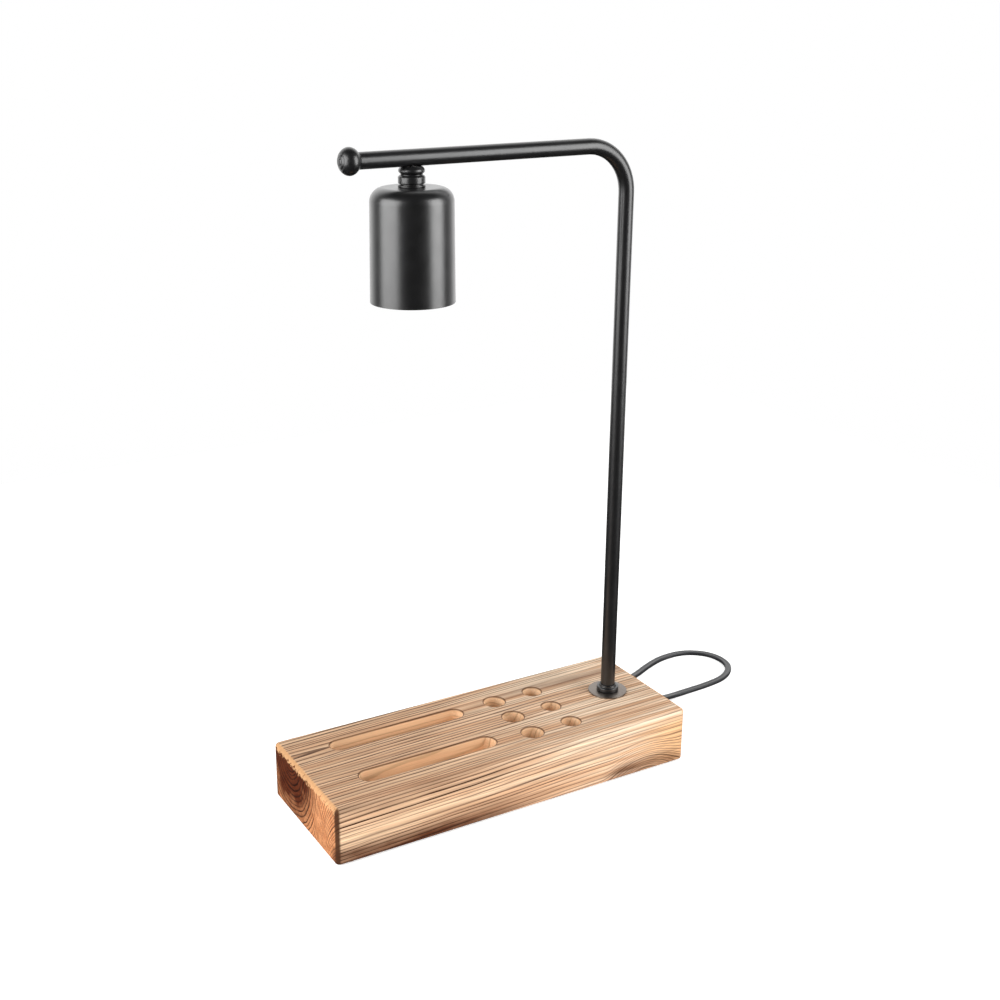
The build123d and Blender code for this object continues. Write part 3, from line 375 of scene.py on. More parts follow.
# %% Floor
# A little glow keeps the table white to the camera; in gloss it is nearly dark
FLOOR_SIZE = 1.7
FLOOR_GLOW, FLOOR_IN_GLOSS = 0.5, 0.03
plane = bmesh.new()
bmesh.ops.create_grid(plane, x_segments=1, y_segments=1, size=FLOOR_SIZE / 2)
floor = place_mesh("floor", plane, smooth=False)
floor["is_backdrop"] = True
table = bare_material("white_laminate")
tree = table.node_tree
path = add(tree, "ShaderNodeLightPath")
seen = add(tree, "ShaderNodeMath", {
    0: path.outputs["Is Camera Ray"], 1: path.outputs["Is Transmission Ray"],
}, operation="MAXIMUM")
glow = add(tree, "ShaderNodeMath", {0: seen, 1: FLOOR_GLOW}, operation="MULTIPLY")
matt = add(tree, "ShaderNodeBsdfDiffuse", {"Color": linear("#f6f6f5")})
lit = add(tree, "ShaderNodeEmission", {"Color": WHITE, "Strength": glow})
both = add(tree, "ShaderNodeAddShader", {0: matt, 1: lit})
dim = add(tree, "ShaderNodeEmission", {"Color": WHITE, "Strength": FLOOR_IN_GLOSS})
shown = add(tree, "ShaderNodeMixShader", {0: path.outputs["Is Glossy Ray"], 1: both, 2: dim})
add(tree, "ShaderNodeOutputMaterial", {"Surface": shown})
floor.data.materials.append(table)


# %% [markdown]
# ## Scorched pine
#
# The block is one piece of softwood with its pith just above the top, behind the middle. Its
# growth rings are wide pale early wood and narrow brown late wood. The wood was passed under a
# flame and brushed, so the late wood is dark, the soft wood is a little hollow, and some places
# are browner: the left of the sides, the ends near the pith and a streak behind the stem. An image
# would show one face only. A solid pattern of rings gives end, front and top the same rings, as a
# sawn block has.

# %% Pine: place and noises
pine = bare_material("scorched_pine")
tree = pine.node_tree
node = partial(add, tree)
place = node("ShaderNodeTexCoord").outputs["Object"]
in_mm = node("ShaderNodeVectorMath", {0: place, "Scale": 1 / MM}, operation="SCALE")
X, Y, Z = node("ShaderNodeSeparateXYZ", {0: in_mm}).outputs
to_end = node("ShaderNodeMath", {0: X}, operation="ABSOLUTE")
to_side = node("ShaderNodeMath", {0: Y}, operation="ABSOLUTE")

# Each noise is stretched along the grain: its length, its width across and its detail. The fibres
# are drawn coarser than real ones so that they show
NOISES = {
    "wander": (190, 38, 2.0),
    "jitter": (45, 7, 2.0),
    "fibre": (60, 0.9, 4.0),
    "streak": (170, 6, 4.0),
    "scorch": (75, 15, 5.0),
    "fade": (80, 9, 2.0),
    "fray": (10, 2.2, 3.0),
}
NOISE_ROUGHNESS = 0.57
noise = {}
for name, (along, wide, detail) in NOISES.items():
    shrink = (1 / along, 1 / wide, 1 / wide)
    at = node("ShaderNodeVectorMath", {0: in_mm, 1: shrink}, operation="MULTIPLY")
    noise[name] = node("ShaderNodeTexNoise", {
        "Vector": at, "Scale": 1.0, "Detail": detail, "Roughness": NOISE_ROUGHNESS,
    })
print("noises:", ", ".join(noise))

# %% Pine: masks
# A ragged height, for the edge that was rubbed pale, the distance from a knot below the front, and
# the distance from a line behind the stem where the flame stayed longer
FRAY_MM = 15.0
KNOT = (108.0, -58.0, -8.0)
FLAME_Y = 28.0
ragged = node("ShaderNodeMath", {0: noise["fray"], 1: FRAY_MM, 2: Z}, operation="MULTIPLY_ADD")
to_knot = node("ShaderNodeVectorMath", {0: in_mm, 1: KNOT}, operation="DISTANCE").outputs["Value"]
to_flame = node("ShaderNodeMath", {0: Y, 1: FLAME_Y}, operation="SUBTRACT")
to_flame = node("ShaderNodeMath", {0: to_flame}, operation="ABSOLUTE")

# Each mask grows smoothly from 0 at the first place to 1 at the second
MASKS = {
    "top": (Z, 40.6, 43.3),
    "upper": (Z, 27.0, 42.0),
    "low": (Z, 19.0, 6.0),
    "rubbed": (ragged, 46.6, 48.6),
    "front": (Y, -14.0, -48.0),
    "by_knot": (to_knot, 44.0, 26.0),
    "flame": (to_flame, 8.0, 3.0),
    "left": (X, 50.0, -75.0),
    "far_left": (X, 260.0, -150.0),
    "right": (X, -70.0, 95.0),
    "far_right": (X, 88.0, 140.0),
    "below": (Z, 41.0, 32.0),
    "end": (to_end, 140.2, 142.4),
    "by_end": (to_end, 139.9, 141.2),
    "left_edge": (X, -139.6, -141.2),
    "side_edge": (to_side, 48.4, 50.2),
    "side": (to_side, 40.0, 51.0),
    "patch": (noise["scorch"].outputs[0], 0.34, 0.64),
    "pale": (noise["streak"].outputs[0], 0.33, 0.66),
}
mask = {}
for name, (source, start, full) in MASKS.items():
    mask[name] = node("ShaderNodeMapRange", {
        "Value": source, "From Min": start, "From Max": full,
    }, interpolation_type="SMOOTHSTEP")
print("masks:", ", ".join(mask))

# %% Pine: growth rings
# The pith is 25 to 33 mm behind the middle and just above the top, and it arches a little. The
# rings are taller than wide. Towards the front they lean, so their lines crowd near the floor
BLOCK_TOP, HALF_LENGTH = 43.5, 143.0
PITH_Y, PITH_SLANT, PITH_Z, PITH_RISE = 29.0, 0.03, 52.0, 2.5
RING_SQUEEZE, LEAN = 0.8, 0.75
pith_y = node("ShaderNodeMath", {0: X, 1: PITH_SLANT, 2: PITH_Y}, operation="MULTIPLY_ADD")
square = node("ShaderNodeMath", {0: X, 1: X}, operation="MULTIPLY")
arch = -PITH_RISE / HALF_LENGTH ** 2
pith_z = node("ShaderNodeMath", {0: square, 1: arch, 2: PITH_Z}, operation="MULTIPLY_ADD")
from_y = node("ShaderNodeMath", {0: Y, 1: pith_y}, operation="SUBTRACT")
from_z = node("ShaderNodeMath", {0: Z, 1: pith_z}, operation="SUBTRACT")
from_z = node("ShaderNodeMath", {0: from_z, 1: RING_SQUEEZE}, operation="MULTIPLY")
across = node("ShaderNodeCombineXYZ", {"X": 0.0, "Y": from_y, "Z": from_z})
radius = node("ShaderNodeVectorMath", {0: across}, operation="LENGTH").outputs["Value"]
depth = node("ShaderNodeMath", {0: BLOCK_TOP, 1: Z}, operation="SUBTRACT")
depth = node("ShaderNodeMath", {0: depth, 1: mask["front"]}, operation="MULTIPLY")
leaning = node("ShaderNodeMath", {0: depth, 1: LEAN, 2: radius}, operation="MULTIPLY_ADD")

# The knot bends the rings into arcs at the front's right end
KNOT_R, KNOT_PUSH = 42.0, 24.0
pushed = node("ShaderNodeMapRange", {
    "Value": to_knot, "From Min": 0.0, "From Max": KNOT_R, "To Min": KNOT_PUSH, "To Max": 0.0,
}, interpolation_type="SMOOTHSTEP")
grown = node("ShaderNodeMath", {0: leaning, 1: pushed}, operation="ADD")
SWAYS_MM = (("wander", 5.0), ("jitter", 1.3))
for name, sway in SWAYS_MM:
    grown = node("ShaderNodeMath", {0: noise[name], 1: sway, 2: grown}, operation="MULTIPLY_ADD")

# Wide and narrow years: the count of years drifts along the radius
RING_MM, DRIFT_MM, DRIFT_YEARS = 3.0, 13.0, 2.2
drift_at = node("ShaderNodeMath", {0: grown, 1: 1 / DRIFT_MM}, operation="MULTIPLY")
drift = node("ShaderNodeTexNoise", {
    "W": drift_at, "Scale": 1.0, "Detail": 1.0,
}, noise_dimensions="1D")
drift = node("ShaderNodeMath", {0: drift, 1: DRIFT_YEARS}, operation="MULTIPLY")
years = node("ShaderNodeMath", {0: grown, 1: 1 / RING_MM, 2: drift}, operation="MULTIPLY_ADD")
season = node("ShaderNodeMath", {0: years}, operation="FRACT")
year = node("ShaderNodeMath", {0: years}, operation="FLOOR")
year_tone = node("ShaderNodeTexWhiteNoise", {"W": year}, noise_dimensions="1D").outputs["Value"]
print("growth rings:", RING_MM, "mm apart, pith at y", PITH_Y, "and z", PITH_Z)

# %% Pine: late wood
# Within a year the wood darkens slowly and turns pale at once: share of the year, darkness
LATE_STOPS = ((0.4, 0.05), (0.66, 0.3), (0.8, 1.0), (0.93, 1.0))
BLACK = (0.0, 0.0, 0.0, 1.0)
late = node("ShaderNodeValToRGB", {0: season})
late.color_ramp.interpolation = "EASE"
stops = late.color_ramp.elements
stops[0].position, stops[0].color = 0.0, BLACK
stops[1].position, stops[1].color = 1.0, BLACK
for at, dark in LATE_STOPS:
    stop = stops.new(at)
    stop.color = (dark, dark, dark, 1.0)

# Some years are fainter than others, lines fade along their way, and they are fainter at the right
# and on the ends
FAINTEST_YEAR, YEAR_SPREAD = 0.68, 0.5
AT_RIGHT, ON_END = 0.7, 0.9
late_share = node("ShaderNodeMath", {
    0: year_tone, 1: YEAR_SPREAD, 2: FAINTEST_YEAR,
}, operation="MULTIPLY_ADD")
fading = node("ShaderNodeMapRange", {
    "Value": noise["fade"], "From Min": 0.32, "From Max": 0.62, "To Min": 0.6, "To Max": 1.1,
})
paler = node("ShaderNodeMapRange", {"Value": mask["right"], "To Min": 1.0, "To Max": AT_RIGHT})
on_end = node("ShaderNodeMapRange", {"Value": mask["end"], "To Min": 1.0, "To Max": ON_END})
for share in (fading, paler, on_end):
    late_share = node("ShaderNodeMath", {0: late_share, 1: share}, operation="MULTIPLY")
late_wood = node("ShaderNodeMath", {0: late, 1: late_share}, operation="MULTIPLY", use_clamp=True)
print("tones within a year:", len(stops))

# %% Pine: bare wood, then scorch
palest = node("ShaderNodeMix", {
    0: mask["right"], 6: linear("#f3cda8"), 7: linear("#fde3c6"),
}, data_type="RGBA")
early = node("ShaderNodeMix", {
    0: mask["pale"], 6: linear("#deb08a"), 7: palest.outputs[2],
}, data_type="RGBA")
resin = node("ShaderNodeMath", {0: mask["far_right"], 1: mask["below"]}, operation="MULTIPLY")
resinous = node("ShaderNodeMix", {
    0: resin, 6: early.outputs[2], 7: linear("#ecbb8b"),
}, data_type="RGBA")
toned = node("ShaderNodeMix", {
    0: late_wood, 6: resinous.outputs[2], 7: linear("#3f1f0c"),
}, data_type="RGBA")
fibre_dark = node("ShaderNodeMapRange", {
    "Value": noise["fibre"], "From Min": 0.3, "From Max": 0.72, "To Min": 0.6, "To Max": 1.16,
})
grained = node("ShaderNodeVectorMath", {
    0: toned.outputs[2], "Scale": fibre_dark,
}, operation="SCALE")

# Each burn is the product of its masks, and its share. The strongest one counts
HEART_FROM, HEART_FULL = 54.0, 18.0
mask["heart"] = node("ShaderNodeMapRange", {
    "Value": radius, "From Min": HEART_FROM, "From Max": HEART_FULL,
}, interpolation_type="SMOOTHSTEP")
BURNS = (
    ("top far_left", 0.24),
    ("upper left side", 0.42),
    ("low left side", 1.0),
    ("low by_knot", 0.7),
    ("top right flame", 0.5),
    ("end heart", 1.3),
)
burn = None
for places, share in BURNS:
    part = share
    for name in places.split():
        part = node("ShaderNodeMath", {0: part, 1: mask[name]}, operation="MULTIPLY")
    if burn is not None:
        part = node("ShaderNodeMath", {0: burn, 1: part}, operation="MAXIMUM")
    burn = part
uneven = node("ShaderNodeMapRange", {"Value": mask["patch"], "To Min": 0.75, "To Max": 1.15})
burn = node("ShaderNodeMath", {0: burn, 1: uneven}, operation="MULTIPLY", use_clamp=True)
burnt = node("ShaderNodeMix", {0: burn, 6: WHITE, 7: linear("#6f4d39")}, data_type="RGBA")
scorched = node("ShaderNodeMix", {
    0: 1.0, 6: grained, 7: burnt.outputs[2],
}, data_type="RGBA", blend_type="MULTIPLY")
print("burns:", ", ".join(places for places, share in BURNS))

# %% Pine: cut walls and their scorched rims
# How far a point lies outside the nearest cut: three rows of round holes with a place and a radius
# for each column, then the slots with their place and half their width
HOLE_PITCH_MM = 26.6
HOLE_COLUMNS = ((24.9, 8.0), (58.2, 7.0))
SLOTS = ((-22.3, 7.5), (25.0, 7.0))
SLOT_FROM, SLOT_TO = -111.0, -4.1
shifted = node("ShaderNodeMath", {0: Y, 1: HOLE_PITCH_MM / 2}, operation="ADD")
nearest = node("ShaderNodeMath", {0: shifted, 1: HOLE_PITCH_MM}, operation="SNAP")
nearest = node("ShaderNodeClamp", {"Value": nearest, "Min": -HOLE_PITCH_MM, "Max": HOLE_PITCH_MM})
row = node("ShaderNodeMath", {0: Y, 1: nearest}, operation="SUBTRACT")
outlines = []
for hole_x, hole_r in HOLE_COLUMNS:
    column = node("ShaderNodeMath", {0: X, 1: hole_x}, operation="SUBTRACT")
    outlines.append((column, row, hole_r))
for slot_y, half_w in SLOTS:
    inside = node("ShaderNodeClamp", {
        "Value": X, "Min": SLOT_FROM + half_w, "Max": SLOT_TO - half_w,
    })
    column = node("ShaderNodeMath", {0: X, 1: inside}, operation="SUBTRACT")
    beside = node("ShaderNodeMath", {0: Y, 1: slot_y}, operation="SUBTRACT")
    outlines.append((column, beside, half_w))
cuts = None
for column, beside, reach in outlines:
    flat = node("ShaderNodeCombineXYZ", {"X": column, "Y": beside, "Z": 0.0})
    gap = node("ShaderNodeVectorMath", {0: flat}, operation="LENGTH").outputs["Value"]
    gap = node("ShaderNodeMath", {0: gap, 1: reach}, operation="SUBTRACT")
    if cuts is not None:
        gap = node("ShaderNodeMath", {0: cuts, 1: gap}, operation="MINIMUM")
    cuts = gap

# The cut walls are unscorched wood, painted paler still as painted light that stands in for light
# reaching into the holes and slots, and the rims round them on the top are scorched: their shares,
# the distances from the cut where each begins and is full, and the heights of the rim
FRESH_AND_PAINTED_LIGHT_SHARE, RIM_SHARE = 0.6, 0.8
FRESH_FROM, FRESH_FULL = 0.35, 0.05
RIM_FROM, RIM_FULL = 1.2, 0.5
RIM_LOW, RIM_HIGH = 42.4, 42.9
wall_of_cut = node("ShaderNodeMapRange", {
    "Value": cuts, "From Min": FRESH_FROM, "From Max": FRESH_FULL,
})
# Painted light: the cut walls' pale colour is unscorched wood made paler to stand in for light
# reaching into the holes and slots
fresh_wood_and_painted_light = node("ShaderNodeMix", {0: FRESH_AND_PAINTED_LIGHT_SHARE, 6: grained, 7: linear("#efc69a")}, data_type="RGBA")
cut_wood = node("ShaderNodeMix", {
    0: wall_of_cut, 6: scorched.outputs[2], 7: fresh_wood_and_painted_light.outputs[2],
}, data_type="RGBA")
near_rim = node("ShaderNodeMapRange", {
    "Value": cuts, "From Min": RIM_FROM, "From Max": RIM_FULL,
}, interpolation_type="SMOOTHSTEP")
rim_top = node("ShaderNodeMapRange", {"Value": Z, "From Min": RIM_LOW, "From Max": RIM_HIGH})
rim = node("ShaderNodeMath", {0: near_rim, 1: rim_top}, operation="MULTIPLY")
rim = node("ShaderNodeMath", {0: rim, 1: RIM_SHARE}, operation="MULTIPLY")
rimmed = node("ShaderNodeMix", {
    0: rim, 6: cut_wood.outputs[2], 7: linear("#4f301c"),
}, data_type="RGBA")
print("cuts in the pattern:", len(HOLE_COLUMNS), "columns of holes,", len(SLOTS), "slots")

# %% Pine: end grain, worn edge and the finished surface
END_SHARE, WORN_SHARE, CHAR_SHARE = 0.85, 0.8, 0.95
end_tint = node("ShaderNodeMix", {
    0: END_SHARE, 6: rimmed.outputs[2], 7: linear("#e4b48c"),
}, data_type="RGBA", blend_type="MULTIPLY")
ended = node("ShaderNodeMix", {
    0: mask["end"], 6: rimmed.outputs[2], 7: end_tint.outputs[2],
}, data_type="RGBA")
worn = node("ShaderNodeMath", {0: mask["rubbed"], 1: mask["by_end"]}, operation="MULTIPLY")
worn = node("ShaderNodeMath", {0: worn, 1: WORN_SHARE}, operation="MULTIPLY")
edged = node("ShaderNodeMix", {
    0: worn, 6: ended.outputs[2], 7: linear("#d3a374"),
}, data_type="RGBA")
charred = node("ShaderNodeMath", {0: mask["left_edge"], 1: mask["side_edge"]}, operation="MULTIPLY")
charred = node("ShaderNodeMath", {0: charred, 1: CHAR_SHARE}, operation="MULTIPLY")
wood = node("ShaderNodeMix", {
    0: charred, 6: edged.outputs[2], 7: linear("#472a18"),
}, data_type="RGBA")

# Brushing leaves the late wood standing and shows the fibres. Oiled softwood has hardly any gloss
RELIEF_MM, FIBRE_RELIEF = 0.4, 0.5
EARLY_ROUGH, LATE_ROUGH = 0.66, 0.56
relief = node("ShaderNodeMath", {
    0: noise["fibre"], 1: FIBRE_RELIEF, 2: late_wood,
}, operation="MULTIPLY_ADD")
bump = node("ShaderNodeBump", {"Height": relief, "Distance": RELIEF_MM * MM, "Strength": 0.5})
sheen = node("ShaderNodeMapRange", {
    "Value": late_wood, "To Min": EARLY_ROUGH, "To Max": LATE_ROUGH,
})
surface = node("ShaderNodeBsdfPrincipled", {
    "Base Color": wood.outputs[2], "Roughness": sheen, "Normal": bump, "IOR": 1.45,
    "Specular IOR Level": 0.15,
})
node("ShaderNodeOutputMaterial", {"Surface": surface})
print("pine nodes:", len(tree.nodes))


# %% [markdown]
# ## Coats, metals and plastics
#
# The rest of the lamp is sprayed or moulded. Each finish has one colour that drifts a little, a
# roughness that varies with it and a fine relief: the orange peel of sprayed paint, the grit of a
# powder coat, the bloom of zinc plate, the grain of a mould. They differ only in these numbers,
# so one recipe makes them all.

# %% One recipe for sprayed, plated and moulded finishes
# The tone drifts over many grains. A noise seldom leaves the range from low to high
DRIFT_GRAINS = 18
NOISE_LOW, NOISE_HIGH = 0.3, 0.7
BUMP_STRENGTH = 0.6


def finish(name, dark, pale, rough, grain_mm, relief_mm,
           stretch=(1, 1, 1), metallic=0.0, gloss=0.5):
    """A finish from two tones, a roughness range and a grain of a real size."""
    coat = bare_material(name)
    tree = coat.node_tree
    place = add(tree, "ShaderNodeTexCoord").outputs["Object"]
    at = add(tree, "ShaderNodeMapping", {"Vector": place, "Scale": stretch})
    drift = add(tree, "ShaderNodeTexNoise", {
        "Vector": at, "Scale": 1 / (DRIFT_GRAINS * grain_mm * MM), "Detail": 3.0,
    })
    grain = add(tree, "ShaderNodeTexNoise", {
        "Vector": at, "Scale": 1 / (grain_mm * MM), "Detail": 2.0,
    })
    spread, speck = [add(tree, "ShaderNodeMapRange", {
        "Value": pattern, "From Min": NOISE_LOW, "From Max": NOISE_HIGH,
    }) for pattern in (drift, grain)]
    share = add(tree, "ShaderNodeMix", {0: 0.5, 2: spread, 3: speck}, data_type="FLOAT")
    tone = add(tree, "ShaderNodeMix", {
        0: share, 6: linear(dark), 7: linear(pale),
    }, data_type="RGBA")
    dull = add(tree, "ShaderNodeMapRange", {"Value": share, "To Min": rough[0], "To Max": rough[1]})
    bump = add(tree, "ShaderNodeBump", {
        "Height": grain, "Distance": relief_mm * MM, "Strength": BUMP_STRENGTH,
    })
    shader = add(tree, "ShaderNodeBsdfPrincipled", {
        "Base Color": tone.outputs[2], "Roughness": dull, "Normal": bump, "Metallic": metallic,
        "Specular IOR Level": gloss,
    })
    add(tree, "ShaderNodeOutputMaterial", {"Surface": shader})
    return coat


# Satin alkyd paint, sprayed: a soft gloss with a faint orange peel
black_paint = finish("satin_black_paint", "#0d0d0e", "#161617", (0.3, 0.38), 1.2, 0.01, gloss=0.8)
# Polyester powder coat: a grit that breaks the reflection up, so its bands have soft edges
powder_coat = finish("charcoal_powder_coat", "#09090a", "#121213", (0.28, 0.36), 0.45, 0.02,
                     gloss=1.0)
# Zinc plate, rolled: grey with a dull bloom
zinc = finish("zinc_plated_steel", "#625a54", "#877f78", (0.32, 0.5), 0.6, 0.01, metallic=1.0)
# Drawn brass: yellow, slightly tarnished
brass = finish("drawn_brass", "#a9884b", "#d2b26c", (0.22, 0.38), 0.7, 0.008, metallic=1.0)
# Nickel plate, polished: pale and bright
nickel = finish("nickel_plate", "#c2beb6", "#d3d0c9", (0.2, 0.26), 2.0, 0.002, metallic=1.0)
# Nylon as moulded: milky white
nylon = finish("natural_nylon", "#d3d0c4", "#e6e4da", (0.42, 0.52), 1.0, 0.01)
# Acetal, turned: black and waxy
acetal = finish("black_acetal", "#111112", "#1c1c1d", (0.3, 0.4), 0.9, 0.006)
# Moulded phenolic: hard, brown-black and glossy
phenolic = finish("black_phenolic", "#141211", "#1f1c1a", (0.22, 0.34), 1.5, 0.008)
# Plasticised PVC: dark grey with a soft sheen
jacket = finish("soft_pvc_jacket", "#1b1c1e", "#2b2c2f", (0.36, 0.48), 0.8, 0.02, gloss=0.6)
# Thin PVC on the wires: darker and smoother
insulation = finish("wire_insulation", "#1d1d1f", "#2b2b2d", (0.35, 0.48), 0.7, 0.01)
# ABS from a spark-eroded mould: an even fine grain
grained_abs = finish("grained_black_abs", "#1a1a1c", "#272729", (0.45, 0.58), 0.35, 0.03)
# ABS from a polished mould
smooth_abs = finish("polished_black_abs", "#151516", "#1e1e20", (0.2, 0.3), 0.8, 0.006)
# Woven hook-and-loop band: fuzzy and without gloss
woven_band = finish("hook_and_loop_band", "#1c1c1d", "#303031", (0.8, 0.95), 0.5, 0.12, gloss=0.2)
# Pressed wool felt: matt and uneven
felt = finish("pressed_felt", "#2b2926", "#454239", (0.9, 1.0), 0.4, 0.15, gloss=0.2)
# Hardboard: brown fibres pressed flat
hardboard = finish("hardboard", "#6d4a2e", "#8e6644", (0.6, 0.75), 0.9, 0.03, stretch=(0.3, 1, 1))
print("nodes in a finish:", len(hardboard.node_tree.nodes))

# %% Dress the solids and both stretches of lead
DRESSED = (
    (pine, "base_block"),
    (black_paint, "stem_tube stem_collar ball_finial arm_boss swivel_ring"),
    (powder_coat, "shade_cup"),
    (zinc, "stem_washer under_washer stem_nut cover_screws swivel_stud shade_nipple nipple_nut"),
    (zinc, "block_screw clamp_screws rocker_pin switch_screws terminal_screws"),
    (brass, "holder_shell centre_contact side_contact holder_screws switch_contacts"),
    (nickel, "plug_pins"),
    (nylon, "terminal_block cord_clamp"),
    (acetal, "friction_washer"),
    (phenolic, "holder_cap holder_body"),
    (jacket, "cord_inlet cord_lead cord_hank"),
    (insulation, "arm_leads holder_leads base_leads cord_cores"),
    (grained_abs, "switch_lower switch_upper plug_body"),
    (smooth_abs, "switch_rocker"),
    (woven_band, "hank_tie"),
    (felt, "foot_pads"),
    (hardboard, "base_cover"),
)
dressed = set()
for material, names in DRESSED:
    for name in names.split():
        solid = nodes[name]
        if not solid.material_slots:
            solid.data.materials.append(material)
        for slot in solid.material_slots:
            slot.material = material
        dressed.add(name)
lead.data.materials.append(jacket)
hank.data.materials.append(jacket)
print("solids left bare:", sorted(set(nodes) - dressed))


# %% [markdown]
# ## Turned pieces
#
# The ring nut, the washer, the bead, the swivel ring and the ball were turned on a lathe. In the
# solids they have plain flats where the lathe left small curves, and those curves carry the
# highlights. So each is spun again from a fine outline with eased corners. A Screw modifier could
# spin it too. Here the rings of points are set directly, because the ball lies on its side.

# %% Helpers that ease and spin an outline
# An easing leaves at least a tenth of each side straight. Points nearer than the weld become one
SIDE_SHARE = 0.45
WELD = 1e-6


def eased(outline, ease, steps=4):
    """Rounds the corners of a closed outline of (radius, height) pairs."""
    smooth = []
    for i, corner in enumerate(outline):
        here = Vector(corner)
        before = Vector(outline[i - 1]) - here
        after = Vector(outline[(i + 1) % len(outline)]) - here
        reach = min(ease, before.length * SIDE_SHARE, after.length * SIDE_SHARE)
        first = here + before.normalized() * reach
        last = here + after.normalized() * reach
        for k in range(steps + 1):
            t = k / steps
            smooth.append(first * (1 - t) ** 2 + here * 2 * t * (1 - t) + last * t ** 2)
    return smooth


def spin(name, outline, at, axis=(0, 0, 1), start=(1, 0, 0), steps=96):
    """Spins a closed outline in millimetres about an axis through a place."""
    axis, start = Vector(axis), Vector(start)
    side = axis.cross(start)
    shape = bmesh.new()
    rings = []
    for radius, height in outline:
        ring = []
        for k in range(steps):
            turn = 2 * math.pi * k / steps
            out = start * math.cos(turn) + side * math.sin(turn)
            ring.append(shape.verts.new((Vector(at) + out * radius + axis * height) * MM))
        rings.append(ring)
    for low, high in zip(rings, rings[1:] + rings[:1]):
        bridge(shape, low, high)
    bmesh.ops.remove_doubles(shape, verts=shape.verts, dist=WELD)
    bmesh.ops.recalc_face_normals(shape, faces=shape.faces)
    return place_mesh(name, shape)


def settle(piece, body, replaced, material):
    """Gives a new piece its body, the solid it stands for and its finish."""
    piece.data.materials.append(material)
    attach(piece, body)
    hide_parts(replaced)


# %% Washer and ring nut on the stem
STEM_X, BORE = 109.5, 5.4
WASHER_R, WASHER_T = 14.5, 1.2
COLLAR_LOW = BLOCK_TOP + 1.25
washer_outline = [(BORE, 0.0), (WASHER_R, 0.0), (WASHER_R, WASHER_T), (BORE, WASHER_T)]
washer = spin("stem_washer_turned", eased(washer_outline, 0.4), (STEM_X, 0, BLOCK_TOP))
settle(washer, "base", "stem_washer", zinc)
collar_outline = [(5.35, 0.0), (8.2, 0.0), (8.2, 3.4), (6.4, 3.4), (6.4, 5.0), (5.35, 5.0)]
collar = spin("stem_collar_turned", eased(collar_outline, 0.7), (STEM_X, 0, COLLAR_LOW))
settle(collar, "arm", "stem_collar", black_paint)

# %% Bead and swivel ring above the shade
SHADE_X, BEAD_LOW, RING_TOP, SHADE_TOP = -55.0, 441.0, 440.5, 433.2
bead_outline = [(4.05, 0.0), (6.6, 0.0), (8.35, 1.5), (8.35, 3.0), (6.8, 4.9), (4.05, 4.9)]
bead = spin("arm_bead_turned", eased(bead_outline, 1.1), (SHADE_X, 0, BEAD_LOW))
settle(bead, "arm", "arm_boss", black_paint)
ring_outline = [
    (4.05, RING_TOP), (7.5, RING_TOP), (8.6, RING_TOP - 1.0), (8.6, 435.6),
    (7.6, 435.4), (7.6, 434.6), (8.6, 434.5),
    (8.6, SHADE_TOP), (6.45, SHADE_TOP), (6.45, 437.1), (4.05, 437.1),
]
ring = spin("swivel_ring_turned", eased(ring_outline, 0.3), (SHADE_X, 0, 0))
settle(ring, "shade", "swivel_ring", black_paint)

# %% Ball on the end of the arm
ARM_END_X, ARM_Z = -91.7, 451.0
BALL_R, BALL_HALF, BALL_MIDDLE, NECK_R = 8.65, 7.0, 5.93, 5.3
SPIGOT_R, SPIGOT_LONG, AXIS_R = 4.25, 10.0, 0.001
TURNED_RINGS, RING_DEEP, RING_WIDE = (2.4, 4.7), 0.3, 0.4
BALL_STEPS = 60
ball_outline = [(AXIS_R, -SPIGOT_LONG), (SPIGOT_R, -SPIGOT_LONG), (SPIGOT_R, 0.0), (NECK_R, 0.0)]
begin = math.asin(NECK_R / BALL_R)
for k in range(BALL_STEPS + 1):
    turn = begin + (math.pi - begin) * k / BALL_STEPS
    out = max(BALL_R * math.sin(turn), AXIS_R)
    height = BALL_MIDDLE - BALL_HALF * math.cos(turn)
    if turn > math.pi / 2:
        height -= sum(RING_DEEP * math.exp(-((out - r) / RING_WIDE) ** 2) for r in TURNED_RINGS)
    ball_outline.append((out, height))
ball = spin("ball_turned", ball_outline, (ARM_END_X, 0, ARM_Z), axis=(-1, 0, 0), start=(0, 1, 0))
settle(ball, "arm", "ball_finial", black_paint)


# %% [markdown]
# ## The lampholder's threaded shell
#
# The bulb's thread is rolled into thin brass, so inside and outside wave together. The wave climbs
# one pitch in each turn. A profile that is only spun would give closed rings, so the radius here
# depends on both the turn and the height, and a Solidify modifier gives the sheet its thickness.

# %% Rolled thread
SHELL_LOW, SHELL_HIGH, SHELL_R = 378.2, 400.2, 13.62
THREAD_PITCH, THREAD_DEPTH, SHEET = 3.63, 0.17, 0.2
TURN_STEPS, RISE_STEPS = 72, 70
shape = bmesh.new()
rows = []
for j in range(RISE_STEPS + 1):
    z = SHELL_LOW + (SHELL_HIGH - SHELL_LOW) * j / RISE_STEPS
    row = []
    for k in range(TURN_STEPS):
        turn = 2 * math.pi * k / TURN_STEPS
        r = SHELL_R + THREAD_DEPTH * math.sin(2 * math.pi * z / THREAD_PITCH - turn)
        at = Vector((SHADE_X + r * math.cos(turn), r * math.sin(turn), z))
        row.append(shape.verts.new(at * MM))
    rows.append(row)
for low, high in zip(rows, rows[1:]):
    bridge(shape, low, high)
shell = place_mesh("threaded_shell", shape)
sheet = shell.modifiers.new("sheet", "SOLIDIFY")
sheet.thickness = SHEET * MM
sheet.offset = 0.0
settle(shell, "shade", "holder_shell", brass)
